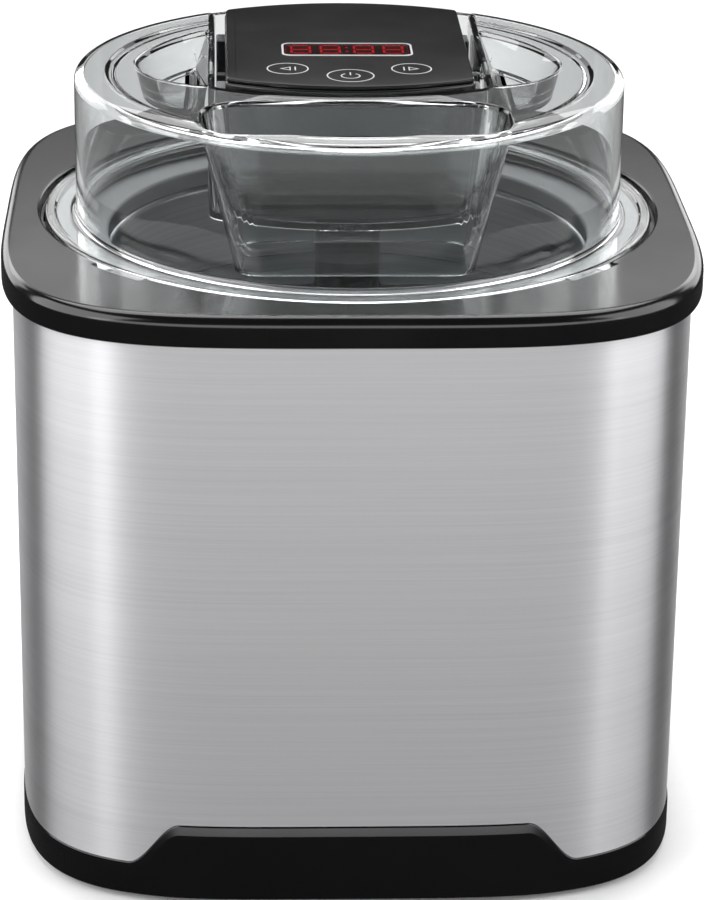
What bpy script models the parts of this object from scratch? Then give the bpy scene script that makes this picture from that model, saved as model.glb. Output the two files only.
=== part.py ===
"""Counter-top ice cream maker with a freezer bowl and a lid-mounted motor unit.

Built in metres, +Z up, the front towards -Y, with the origin on the floor under the middle
of the housing. Every sub-part is one named object; moving sub-parts have their origin on
their joint's axis. All heights are measured from the floor.
"""
import math

import bmesh
import bpy
from mathutils import Vector

MM = 0.001
GAP = 0.3 * MM                    # clearance between touching pieces
SIDES = 40                        # points round every large section
TURN = 2.0 * math.pi

# ---- housing -------------------------------------------------------------------------
BODY_EXPONENT = 4.2               # superellipse exponent of the housing's plan
COLLAR_EXPONENT = 4.0
CORNER_PULL = 0.5                 # how far the plan's points crowd into its corners, 0 to 1
STEEL_HALF = (111.4 * MM, 114.4 * MM)
SKIRT_PROUD = 0.4 * MM
COLLAR_HALF = (115.0 * MM, 118.0 * MM)
STEEL_THICKNESS = 1.0 * MM
SKIRT_WALL = 3.0 * MM
SKIRT_BOTTOM = 2.0 * MM
SKIRT_TOP = 13.4 * MM
PLATE_TOP = 28.3 * MM
PLATE_HALF_TOP = 57.0 * MM         # the plate's top edge runs level to here
PLATE_HALF_FOOT = 74.0 * MM        # and has sunk to the skirt's top here
COLLAR_BOTTOM = 194.7 * MM
COLLAR_TOP = 205.0 * MM
COLLAR_BORE = 103.8 * MM          # recess that the lid drops into
COLLAR_LEDGE = 201.0 * MM         # floor of that recess
COLLAR_THROAT = 100.6 * MM        # bore that the bowl drops through
BUCKET_BORE = 101.0 * MM
BUCKET_WALL = 2.2 * MM
BUCKET_FLOOR = (24.0 * MM, 27.0 * MM)
BOTTOM_PLATE = (4.0 * MM, 7.0 * MM)
FOOT_RADIUS = 9.0 * MM
FOOT_REACH = 84.0 * MM            # feet stand at +-this, in x and y
SCREW_REACH = 56.0 * MM           # base screws
COLLAR_SCREW_REACH = 83.0 * MM
SCREW_SHANK = 1.7 * MM
SCREW_HEAD = 3.4 * MM
SCREW_HOLE = 2.1 * MM

# ---- freezer bowl --------------------------------------------------------------------
BOWL_BOTTOM = BUCKET_FLOOR[1] + GAP
BOWL_TOP = 198.0 * MM
BOWL_RADIUS = 96.0 * MM
BOWL_WALL = 2.0 * MM
RIM_RADIUS = 99.8 * MM
LINER_TOP_RADIUS = 80.0 * MM      # inside
LINER_FOOT_RADIUS = 75.0 * MM
LINER_FLOOR = 42.0 * MM
LINER_WALL = 1.5 * MM
SHELL_TOP = 190.0 * MM
COOLANT_TOP = 180.0 * MM
PIVOT_RADIUS = 3.0 * MM
PIVOT_TOP = 48.0 * MM

# ---- clear lid -----------------------------------------------------------------------
FLANGE_RADIUS = 102.0 * MM
FLANGE = (201.3 * MM, 204.6 * MM)
DRUM_RADIUS = 91.5 * MM
DRUM_TOP = 251.7 * MM
LID_WALL = 2.2 * MM
BAY_HALF = 44.8 * MM              # inside of the motor bay
BAY_REAR = 89.4 * MM
BAY_FRONT = -31.4 * MM
BAY_FLOOR = 208.0 * MM
POCKET_RADIUS = 73.0 * MM
POCKET_FLOOR = 239.0 * MM
POCKET_INNER = 47.0 * MM
FUNNEL_FLOOR = 203.4 * MM
LUG_SPAN = (-49.5, -40.5)         # degrees, right-hand lug; the left one mirrors it
NOTCH_SPAN = (-50.3, -37.5)

# ---- motor unit ----------------------------------------------------------------------
PANEL_HALF = 41.3 * MM
PANEL_REAR = 88.4 * MM
PANEL_FRONT = -24.9 * MM
FRONT_CURVE = 89.0 * MM
PANEL = (251.2 * MM, 252.4 * MM)
COVER = (246.8 * MM, 250.9 * MM)
COVER_SKIN = 1.6 * MM
CASE_HALF = 39.6 * MM
CASE_REAR = 85.5 * MM
CASE_FRONT = -29.0 * MM
CASE = (208.3 * MM, 246.5 * MM)
CASE_WALL = 2.0 * MM
GUIDE_RIBS = ((-13.0 * MM, -1.0 * MM), (15.0 * MM, 19.0 * MM), (60.0 * MM, 70.0 * MM))
DISPLAY_SIZE = (42.5 * MM, 14.7 * MM)
DISPLAY_Y = 22.6 * MM
KEYS = (("left", -20.6 * MM, -2.2 * MM), ("centre", 0.0, -11.0 * MM), ("right", 20.6 * MM, -2.2 * MM))
GEAR_MODULE = 1.0 * MM
OUTPUT_TEETH, IDLER_TEETH, PINION_TEETH = 40, 30, 12
IDLER_Y = GEAR_MODULE * (OUTPUT_TEETH + PINION_TEETH) / 2
MOTOR_Y = IDLER_Y + GEAR_MODULE * (IDLER_TEETH + PINION_TEETH) / 2
LOWER_GEARS = (211.4 * MM, 214.6 * MM)
UPPER_GEARS = (215.0 * MM, 218.4 * MM)
GEAR_PLATE = (219.6 * MM, 221.4 * MM)
MOTOR_RADIUS = 17.5 * MM
MOTOR = (221.7 * MM, 242.5 * MM)
PCB = (244.0 * MM, 245.6 * MM)
SHAFT_RADIUS = 5.0 * MM
SHAFT_TIP = 182.0 * MM
HEX_RADIUS = 5.4 * MM
BUTTON_Y = 6.5 * MM
BUTTON_SIZE = (10.0 * MM, 8.0 * MM)   # along y and z
BUTTON_Z = 236.5 * MM
BUTTON_FACE = 44.4 * MM
JACK = (234.0 * MM, 245.0 * MM)
CASE_SCREWS = ((33.0 * MM, -14.0 * MM), (33.0 * MM, 58.0 * MM))
CASE_POST = 5.4 * MM

# ---- mixing paddle -------------------------------------------------------------------
PADDLE_REACH = 71.0 * MM
PADDLE_BOTTOM = 45.0 * MM
PADDLE_SHOULDER = 176.0 * MM
HUB_RADIUS = 11.0 * MM
HUB_TOP = 200.6 * MM
SOCKET_FLOOR = 181.0 * MM


def clear_scene():
    """Remove every object the file opened with."""
    for obj in list(bpy.data.objects):
        bpy.data.objects.remove(obj, do_unlink=True)


def material(name, colour, roughness, metallic=0.0, transmission=0.0):
    """A Principled BSDF material, made once per name."""
    known = bpy.data.materials.get(name)
    if known:
        return known
    made = bpy.data.materials.new(name)
    made.use_nodes = True
    made.diffuse_color = (*colour, 1.0)
    shader = made.node_tree.nodes["Principled BSDF"]
    shader.inputs["Base Color"].default_value = (*colour, 1.0)
    shader.inputs["Roughness"].default_value = roughness
    shader.inputs["Metallic"].default_value = metallic
    shader.inputs["Transmission Weight"].default_value = transmission
    return made


GLOSS_BLACK = ("gloss_black", (0.012, 0.012, 0.013), 0.12)
MATT_BLACK = ("matt_black", (0.02, 0.02, 0.022), 0.5)
STEEL = ("brushed_steel", (0.62, 0.62, 0.63), 0.28, 1.0)
SCREW_STEEL = ("screw_steel", (0.5, 0.5, 0.52), 0.3, 1.0)
GREY = ("grey_plastic", (0.32, 0.32, 0.33), 0.4)
WHITE = ("white_plastic", (0.8, 0.8, 0.8), 0.4)
RUBBER = ("rubber", (0.03, 0.03, 0.03), 0.8)
SILICONE = ("silicone", (0.2, 0.21, 0.22), 0.5)
ALUMINIUM = ("aluminium", (0.7, 0.71, 0.72), 0.35, 1.0)
GEL = ("coolant", (0.25, 0.5, 0.75), 0.3)
CLEAR = ("clear_plastic", (0.95, 0.96, 0.97), 0.03, 0.0, 1.0)
PANEL_BLACK = ("panel_black", (0.03, 0.03, 0.032), 0.08)
GLASS_RED = ("display_window", (0.1, 0.01, 0.012), 0.1)
BOARD_GREEN = ("circuit_board", (0.02, 0.16, 0.06), 0.5)
BRASS = ("brass", (0.72, 0.52, 0.22), 0.3, 1.0)
ACETAL = ("acetal", (0.85, 0.85, 0.82), 0.4)


def link(name, mesh, look, at=(0.0, 0.0, 0.0)):
    """Put a mesh in the scene under its node's name, shaded smooth with sharp edges."""
    mesh.shade_smooth()
    mesh.set_sharp_from_angle(angle=math.radians(35))
    mesh.materials.append(material(*look))
    obj = bpy.data.objects.new(name, mesh)
    obj.location = at
    bpy.context.scene.collection.objects.link(obj)
    return obj


def skin(name, rings, look, loop=False, at=(0.0, 0.0, 0.0)):
    """Skin a list of rings of points; a ring of one point is a pole.

    With loop the last ring joins the first, as on a tube; without it both ends are capped.
    """
    shell = bmesh.new()
    made = [[shell.verts.new(point) for point in ring] for ring in rings]
    pairs = list(zip(made, made[1:] + made[:1])) if loop else list(zip(made, made[1:]))
    for low, high in pairs:
        count = max(len(low), len(high))
        for here in range(count if count > 1 else 0):
            there = (here + 1) % count
            corners = [low[here % len(low)], low[there % len(low)],
                       high[there % len(high)], high[here % len(high)]]
            shell.faces.new(list(dict.fromkeys(corners)))
    if not loop:
        for end in (made[0], made[-1]):
            if len(end) > 2:
                shell.faces.new(end)
    bmesh.ops.recalc_face_normals(shell, faces=shell.faces)
    mesh = bpy.data.meshes.new(name)
    shell.to_mesh(mesh)
    shell.free()
    return link(name, mesh, look, at)


def circle(radius, z, sides=SIDES, centre=(0.0, 0.0)):
    """A ring of points, or one point when the radius is nil."""
    if radius <= 0.0:
        return [Vector((centre[0], centre[1], z))]
    steps = (TURN * step / sides for step in range(sides))
    return [Vector((centre[0] + radius * math.cos(t), centre[1] + radius * math.sin(t), z))
            for t in steps]


def superellipse(half, exponent, z, offset=0.0):
    """A ring of the housing's plan at one height, its points drawn towards the round corners."""
    ring = []
    for step in range(SIDES):
        even = TURN * step / SIDES
        t = even + CORNER_PULL * math.sin(4.0 * even) / 4.0
        wide = abs(math.cos(t) / (half[0] + offset)) ** exponent
        deep = abs(math.sin(t) / (half[1] + offset)) ** exponent
        reach = (wide + deep) ** (-1.0 / exponent)
        ring.append(Vector((reach * math.cos(t), reach * math.sin(t), z)))
    return ring


def turned(name, profile, look, sides=SIDES, at=(0.0, 0.0, 0.0)):
    """Turn a closed (radius, height) outline about the vertical axis."""
    return skin(name, [circle(radius, z, sides) for radius, z in profile], look, True, at)


def prism(name, outline, bottom, top, look, at=(0.0, 0.0, 0.0)):
    """A straight-sided solid of a plan outline."""
    return skin(name, [[Vector((x, y, z)) for x, y in outline] for z in (bottom, top)], look, at=at)


def box(name, low, high, look, at=(0.0, 0.0, 0.0)):
    """An upright box between two corners."""
    outline = ((low[0], low[1]), (high[0], low[1]), (high[0], high[1]), (low[0], high[1]))
    return prism(name, outline, low[2], high[2], look, at)


def evaluated(target):
    """The target's mesh with its modifiers applied."""
    bpy.context.view_layer.update()
    graph = bpy.context.evaluated_depsgraph_get()
    return bpy.data.meshes.new_from_object(target.evaluated_get(graph))


def is_closed(mesh):
    """True where every edge has two faces."""
    shell = bmesh.new()
    shell.from_mesh(mesh)
    closed = all(len(edge.link_faces) == 2 for edge in shell.edges)
    shell.free()
    return closed


def boolean(target, operation, tool):
    """Apply one Boolean and remove the tool; where the exact solver leaves a sliver, use the other."""
    modifier = target.modifiers.new(operation.lower(), "BOOLEAN")
    modifier.operation = operation
    modifier.solver = "EXACT"
    modifier.object = tool
    result = evaluated(target)
    if not is_closed(result):
        bpy.data.meshes.remove(result)
        modifier.solver = "MANIFOLD"
        result = evaluated(target)
    target.modifiers.clear()
    old = target.data
    target.data = result
    bpy.data.meshes.remove(old)
    result.name = target.name
    bpy.data.objects.remove(tool, do_unlink=True)
    return target


def cut(target, *tools):
    """Take each tool's volume out of the target."""
    for tool in tools:
        boolean(target, "DIFFERENCE", tool)
    return target


def fuse(target, *others):
    """Join each other solid into the target as one body."""
    for other in others:
        boolean(target, "UNION", other)
    return target


def cylinder(radius, bottom, top, x=0.0, y=0.0, sides=24, name="tool", look=GREY):
    """An upright cylinder, used as a piece or as a tool."""
    return skin(name, [circle(radius, z, sides, (x, y)) for z in (bottom, top)], look)


def corners(reach):
    """The four places at +-reach, with a name for each."""
    return (("front_left", -reach, -reach), ("front_right", reach, -reach),
            ("rear_left", -reach, reach), ("rear_right", reach, reach))


def screw(name, x, y, seat, tip):
    """A pan-head screw pointing up, its head just under the seat."""
    head = seat - GAP
    profile = ((0.0, head - 1.8 * MM), (SCREW_HEAD * 0.8, head - 1.8 * MM), (SCREW_HEAD, head - 1.1 * MM),
               (SCREW_HEAD, head), (SCREW_SHANK, head), (SCREW_SHANK, tip), (0.0, tip))
    return turned(name, profile, SCREW_STEEL, 12, (x, y, 0.0))


def plate_height(x):
    """Height of the front plate's top edge: level, then an easy S-curve down to the skirt."""
    share = (PLATE_HALF_FOOT - abs(x)) / (PLATE_HALF_FOOT - PLATE_HALF_TOP)
    share = min(1.0, max(0.0, share))
    low = SKIRT_TOP - 0.5 * MM
    return low + share * share * (3.0 - 2.0 * share) * (PLATE_TOP - low)


def plate_tool(low, grow=0.0):
    """Solid of the front plate's outline across the housing's front half, used as a tool."""
    steps = 9
    side = [PLATE_HALF_TOP + (PLATE_HALF_FOOT - PLATE_HALF_TOP) * step / steps for step in range(steps + 1)]
    edge = [(-x, plate_height(x)) for x in reversed(side)] + [(x, plate_height(x)) for x in side]
    outline = [(x + math.copysign(grow, x), z + grow) for x, z in edge]
    outline += [(PLATE_HALF_FOOT + grow, low), (-PLATE_HALF_FOOT - grow, low)]
    front, middle = -COLLAR_HALF[1] - 10 * MM, -COLLAR_HALF[1] * 0.6
    return skin("tool", [[Vector((x, y, z)) for x, z in outline] for y in (front, middle)], GLOSS_BLACK)


def plan_tube(name, half, exponent, outer, inner, bottom, top, look):
    """A wall of the housing's plan between two offsets."""
    rings = [superellipse(half, exponent, bottom, outer), superellipse(half, exponent, top, outer),
             superellipse(half, exponent, top, inner), superellipse(half, exponent, bottom, inner)]
    return skin(name, rings, look, True)


def make_base():
    """Skirt with its front plate, bottom plate, feet and base screws."""
    skirt = plan_tube("base_skirt", STEEL_HALF, BODY_EXPONENT, SKIRT_PROUD, -SKIRT_WALL,
                      SKIRT_BOTTOM, SKIRT_TOP, GLOSS_BLACK)
    plate = plan_tube("front_plate", STEEL_HALF, BODY_EXPONENT, 2 * SKIRT_PROUD, -2.6 * MM,
                      SKIRT_BOTTOM + MM, PLATE_TOP + MM, GLOSS_BLACK)
    boolean(plate, "INTERSECT", plate_tool(SKIRT_BOTTOM))
    fuse(skirt, plate)

    bottom = skin("bottom_plate", [superellipse(STEEL_HALF, BODY_EXPONENT, z, -SKIRT_WALL - GAP)
                                   for z in BOTTOM_PLATE], MATT_BLACK)
    for place, x, y in corners(SCREW_REACH):
        cut(bottom, cylinder(SCREW_HOLE, 0.0, 10 * MM, x, y, 12))
        screw(f"base_screw_{place}", x, y, BOTTOM_PLATE[0], 15 * MM)
    foot = ((0.0, 0.0), (FOOT_RADIUS - 1.2 * MM, 0.0), (FOOT_RADIUS, 1.0 * MM),
            (FOOT_RADIUS, BOTTOM_PLATE[0] - GAP), (0.0, BOTTOM_PLATE[0] - GAP))
    for place, x, y in corners(FOOT_REACH):
        turned(f"foot_{place}", foot, RUBBER, 14, (x, y, 0.0))


def make_steel_wrap():
    """Brushed steel band round the housing, notched for the front plate."""
    wrap = plan_tube("steel_wrap", STEEL_HALF, BODY_EXPONENT, 0.0, -STEEL_THICKNESS,
                     SKIRT_TOP + GAP, COLLAR_BOTTOM - GAP, STEEL)
    cut(wrap, plate_tool(0.0, GAP))


def make_bucket():
    """Inner well of the housing: cup, top flange and screw posts."""
    bore, outer = BUCKET_BORE, BUCKET_BORE + BUCKET_WALL
    low, floor = BUCKET_FLOOR
    flange_top = COLLAR_BOTTOM - GAP
    flange_low = flange_top - 3 * MM
    rings = [circle(0.0, low), circle(outer, low), circle(outer, flange_low),
             superellipse(STEEL_HALF, BODY_EXPONENT, flange_low, -STEEL_THICKNESS - GAP),
             superellipse(STEEL_HALF, BODY_EXPONENT, flange_top, -STEEL_THICKNESS - GAP),
             circle(bore, flange_top), circle(bore, floor), circle(0.0, floor)]
    bucket = skin("inner_bucket", rings, GREY, True)
    for _, x, y in corners(SCREW_REACH):
        fuse(bucket, cylinder(5 * MM, BOTTOM_PLATE[1] + GAP, low + MM, x, y, 16))
        cut(bucket, cylinder(SCREW_HOLE, 0.0, 18 * MM, x, y, 12))
    for _, x, y in corners(COLLAR_SCREW_REACH):
        cut(bucket, cylinder(SCREW_HOLE, flange_low - MM, flange_top + MM, x, y, 12))


def arc_block(name, span, inner, outer, bottom, top, look=GREY, steps=6):
    """A block between two radii and two bearings in degrees, for lugs and notches."""
    bearings = [math.radians(span[0] + (span[1] - span[0]) * step / steps) for step in range(steps + 1)]
    outline = [(outer * math.cos(t), outer * math.sin(t)) for t in bearings]
    outline += [(inner * math.cos(t), inner * math.sin(t)) for t in reversed(bearings)]
    return prism(name, outline, bottom, top, look)


def mirrored(span):
    """The same bearings on the left-hand side."""
    return (180.0 - span[1], 180.0 - span[0])


def make_collar():
    """Glossy top collar: recess for the lid, throat for the bowl, notches for the lid's lugs."""
    rings = [superellipse(COLLAR_HALF, COLLAR_EXPONENT, COLLAR_BOTTOM, -0.8 * MM),
             superellipse(COLLAR_HALF, COLLAR_EXPONENT, COLLAR_BOTTOM + MM),
             superellipse(COLLAR_HALF, COLLAR_EXPONENT, COLLAR_TOP - 2.2 * MM),
             superellipse(COLLAR_HALF, COLLAR_EXPONENT, COLLAR_TOP - 0.7 * MM, -0.7 * MM),
             superellipse(COLLAR_HALF, COLLAR_EXPONENT, COLLAR_TOP, -2.4 * MM),
             circle(COLLAR_BORE, COLLAR_TOP), circle(COLLAR_BORE, COLLAR_LEDGE),
             circle(COLLAR_THROAT, COLLAR_LEDGE), circle(COLLAR_THROAT, COLLAR_BOTTOM)]
    collar = skin("collar", rings, GLOSS_BLACK, True)
    for span in (NOTCH_SPAN, mirrored(NOTCH_SPAN)):
        cut(collar, arc_block("tool", span, COLLAR_BORE - 3 * MM, COLLAR_BORE + 3.2 * MM,
                              COLLAR_LEDGE, COLLAR_TOP + MM))
    for bearing in (0.0, 180.0):
        cut(collar, arc_block("tool", (bearing - 4.5, bearing + 4.5), COLLAR_THROAT - MM,
                              COLLAR_THROAT + 2.0 * MM, COLLAR_BOTTOM - MM, COLLAR_LEDGE + MM))
    for place, x, y in corners(COLLAR_SCREW_REACH):
        cut(collar, cylinder(SCREW_HOLE, 0.0, COLLAR_BOTTOM + 6 * MM, x, y, 12))
        screw(f"collar_screw_{place}", x, y, COLLAR_BOTTOM - GAP - 3 * MM, COLLAR_BOTTOM + 5 * MM)


def liner_radius(z):
    """Inside radius of the aluminium liner at a height."""
    share = (z - LINER_FLOOR) / (SHELL_TOP - LINER_FLOOR)
    return LINER_FOOT_RADIUS + share * (LINER_TOP_RADIUS - LINER_FOOT_RADIUS)


def make_bowl():
    """Double-walled freezer bowl: shell, liner, coolant, gasket, rim and filler plug."""
    inner = BOWL_RADIUS - BOWL_WALL
    floor = BOWL_BOTTOM + 2.5 * MM
    plug_hole = 7.0 * MM
    turned("bowl_outer_shell",
           ((plug_hole, BOWL_BOTTOM), (BOWL_RADIUS - 4 * MM, BOWL_BOTTOM),
            (BOWL_RADIUS, BOWL_BOTTOM + 4 * MM), (BOWL_RADIUS, SHELL_TOP),
            (inner, SHELL_TOP), (inner, floor + 2 * MM),
            (inner - 2 * MM, floor), (plug_hole, floor)), WHITE)
    turned("filler_plug",
           ((0.0, BOWL_BOTTOM + 0.5 * MM), (plug_hole - GAP, BOWL_BOTTOM + 0.5 * MM),
            (plug_hole - GAP, floor), (0.0, floor)), RUBBER, 24)
    flange = (SHELL_TOP + GAP, SHELL_TOP + GAP + LINER_WALL)
    skin_r = liner_radius(LINER_FLOOR)
    turned("bowl_liner",
           ((0.0, LINER_FLOOR - LINER_WALL), (skin_r - 5 * MM, LINER_FLOOR - LINER_WALL),
            (skin_r + LINER_WALL, LINER_FLOOR + 5 * MM), (LINER_TOP_RADIUS + LINER_WALL, flange[0]),
            (BOWL_RADIUS, flange[0]), (BOWL_RADIUS, flange[1]), (LINER_TOP_RADIUS, flange[1]),
            (skin_r, LINER_FLOOR + 5 * MM), (skin_r - 5 * MM, LINER_FLOOR), (PIVOT_RADIUS, LINER_FLOOR),
            (PIVOT_RADIUS, PIVOT_TOP - MM), (PIVOT_RADIUS - MM, PIVOT_TOP), (0.0, PIVOT_TOP)), ALUMINIUM)
    wet = LINER_WALL + GAP
    turned("coolant_fill",
           ((0.0, floor + GAP), (inner - 2.3 * MM, floor + GAP), (inner - GAP, floor + 2.3 * MM),
            (inner - GAP, COOLANT_TOP), (liner_radius(COOLANT_TOP) + wet, COOLANT_TOP),
            (skin_r + wet, LINER_FLOOR + 5 * MM), (skin_r - 5 * MM, LINER_FLOOR - wet),
            (0.0, LINER_FLOOR - wet)), GEL)
    low = flange[1] + GAP
    groove = (LINER_TOP_RADIUS + 4 * MM, BOWL_RADIUS - 2 * MM)
    turned("bowl_gasket",
           ((groove[1] - GAP, low), (groove[1] - GAP, low + 1.5 * MM),
            (groove[0] + GAP, low + 1.5 * MM), (groove[0] + GAP, low)), SILICONE)
    rim = turned("bowl_rim",
                 ((RIM_RADIUS, SHELL_TOP - 5 * MM), (RIM_RADIUS, BOWL_TOP - MM),
                  (RIM_RADIUS - MM, BOWL_TOP),
                  (LINER_TOP_RADIUS + 2 * MM, BOWL_TOP), (LINER_TOP_RADIUS + 0.8 * MM, BOWL_TOP - 1.2 * MM),
                  (LINER_TOP_RADIUS + 0.8 * MM, low), (groove[0], low), (groove[0], low + 1.8 * MM),
                  (groove[1], low + 1.8 * MM), (groove[1], low), (BOWL_RADIUS + GAP, low),
                  (BOWL_RADIUS + GAP, SHELL_TOP - 5 * MM)), GREY)
    for bearing in (0.0, 180.0):
        fuse(rim, arc_block("tool", (bearing - 3.5, bearing + 3.5), RIM_RADIUS - MM,
                            RIM_RADIUS + 2.2 * MM, COLLAR_BOTTOM + 0.5 * MM, BOWL_TOP - 1.5 * MM))


def motor_plan(half, rear, front, steps=10):
    """Plan of the motor unit: straight sides, a rear arc about the axis and a bowed front."""
    corner = math.acos(half / rear)
    bearings = [corner + (math.pi - 2 * corner) * step / steps for step in range(steps + 1)]
    outline = [(rear * math.cos(t), rear * math.sin(t)) for t in bearings]
    for step in range(steps + 1):
        x = -half + 2 * half * step / steps
        outline.append((x, front + FRONT_CURVE - math.sqrt(FRONT_CURVE ** 2 - x ** 2)))
    return outline


def grip_plan(side, grow=0.0, shrink=0.0):
    """D-shaped plan of one finger recess beside the motor bay."""
    radius, inner = POCKET_RADIUS + grow - shrink, POCKET_INNER - grow
    first, last = math.acos(inner / radius), math.radians(12.0)
    arc = [first + (last - first) * step / 8 for step in range(9)]
    outline = [(radius * math.cos(t), radius * math.sin(t)) for t in arc]
    start = outline[-1]
    end = (inner, -18.0 * MM - grow + shrink)
    pull_a = (start[0] + 2.0 * MM, start[1] - 11.0 * MM)
    pull_b = (end[0] + 18.0 * MM, end[1] + 3.5 * MM)
    for step in range(1, 9):
        t = step / 8
        weights = ((1 - t) ** 3, 3 * t * (1 - t) ** 2, 3 * t * t * (1 - t), t ** 3)
        outline.append(tuple(sum(w * p[axis] for w, p in zip(weights, (start, pull_a, pull_b, end)))
                             for axis in (0, 1)))
    return [(side * x, y) for x, y in outline]


def grip_tool(side, grow):
    """Solid of one finger recess, tapering towards its floor."""
    floor = POCKET_FLOOR - grow
    rings = [[Vector((x, y, z)) for x, y in grip_plan(side, grow, shrink)]
             for z, shrink in ((floor, 5.0 * MM), (DRUM_TOP + 5 * MM, 0.0))]
    return skin("tool", rings, CLEAR)


def rounded_box(half_x, y_low, y_high, radius, z, steps=5):
    """A ring of a rounded rectangle at one height."""
    ring = []
    for quarter, (sx, y) in enumerate(((1, y_high - radius), (-1, y_high - radius),
                                       (-1, y_low + radius), (1, y_low + radius))):
        for step in range(steps + 1):
            t = math.pi / 2 * (quarter + step / steps)
            x = sx * (half_x - radius) + radius * math.cos(t)
            ring.append(Vector((x, y + radius * math.sin(t), z)))
    return ring


def funnel_tool(grow, bottom):
    """Solid of the feed funnel: wide at the drum's top, narrow over the bowl."""
    top = DRUM_TOP + MM
    return skin("tool", [
        rounded_box(36.0 * MM + grow, -70.0 * MM - grow, -37.6 * MM + grow, 6 * MM + grow, bottom),
        rounded_box(49.0 * MM + grow, -76.4 * MM - grow, -37.0 * MM + grow, 14 * MM + grow, top)], CLEAR)


def bay_tool(grow, bottom, top):
    """Solid of the motor bay."""
    return prism("tool", motor_plan(BAY_HALF + grow, BAY_REAR + grow, BAY_FRONT - grow), bottom, top, CLEAR)


def make_lid():
    """One clear moulding: flange, drum, motor bay, finger recesses and feed funnel."""
    inside, under = DRUM_RADIUS - LID_WALL, DRUM_TOP - LID_WALL
    lid = turned("clear_lid",
                 ((0.0, FLANGE[0]), (FLANGE_RADIUS, FLANGE[0]), (FLANGE_RADIUS, FLANGE[1]),
                  (DRUM_RADIUS + 2 * MM, FLANGE[1]), (DRUM_RADIUS, FLANGE[1] + 2 * MM),
                  (DRUM_RADIUS, DRUM_TOP - 4 * MM), (DRUM_RADIUS - 1.2 * MM, DRUM_TOP - 1.2 * MM),
                  (DRUM_RADIUS - 4 * MM, DRUM_TOP), (0.0, DRUM_TOP)), CLEAR)
    hollow = turned("tool",
                    ((0.0, FLANGE[0] - MM), (inside, FLANGE[0] - MM), (inside, under - 3 * MM),
                     (inside - 3 * MM, under), (0.0, under)), CLEAR)
    cut(hollow, bay_tool(LID_WALL, BAY_FLOOR - LID_WALL, DRUM_TOP),
        grip_tool(1, LID_WALL), grip_tool(-1, LID_WALL),
        funnel_tool(LID_WALL, FUNNEL_FLOOR))
    cut(lid, hollow, bay_tool(0.0, BAY_FLOOR, DRUM_TOP + MM), grip_tool(1, 0.0), grip_tool(-1, 0.0),
        funnel_tool(0.0, FUNNEL_FLOOR - MM), cylinder(9.5 * MM, 190 * MM, BAY_FLOOR + MM, sides=20))
    window = (BUTTON_Y - 8 * MM, BUTTON_Y + 8 * MM)
    for side in (-1, 1):
        near, far = sorted((side * (BAY_HALF - MM), side * (POCKET_INNER + MM)))
        cut(lid, box("tool", (near, window[0], POCKET_FLOOR + MM), (far, window[1], DRUM_TOP - 3 * MM),
                     CLEAR))
    cut(lid, box("tool", (-10 * MM, BAY_REAR - 6 * MM, JACK[0] - 2 * MM),
                 (10 * MM, DRUM_RADIUS + 5 * MM, JACK[1] + 2 * MM), CLEAR))
    for span in (LUG_SPAN, mirrored(LUG_SPAN)):
        fuse(lid, arc_block("tool", span, FLANGE_RADIUS - 3 * MM, COLLAR_BORE + 2.6 * MM,
                            FLANGE[0] + 0.2 * MM, FLANGE[1] - 0.4 * MM, CLEAR))
    turned("lid_gasket", ((99.0 * MM, BOWL_TOP + GAP), (99.0 * MM, FLANGE[0] - GAP),
                          (93.0 * MM, FLANGE[0] - GAP), (93.0 * MM, BOWL_TOP + GAP)), SILICONE)


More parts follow.
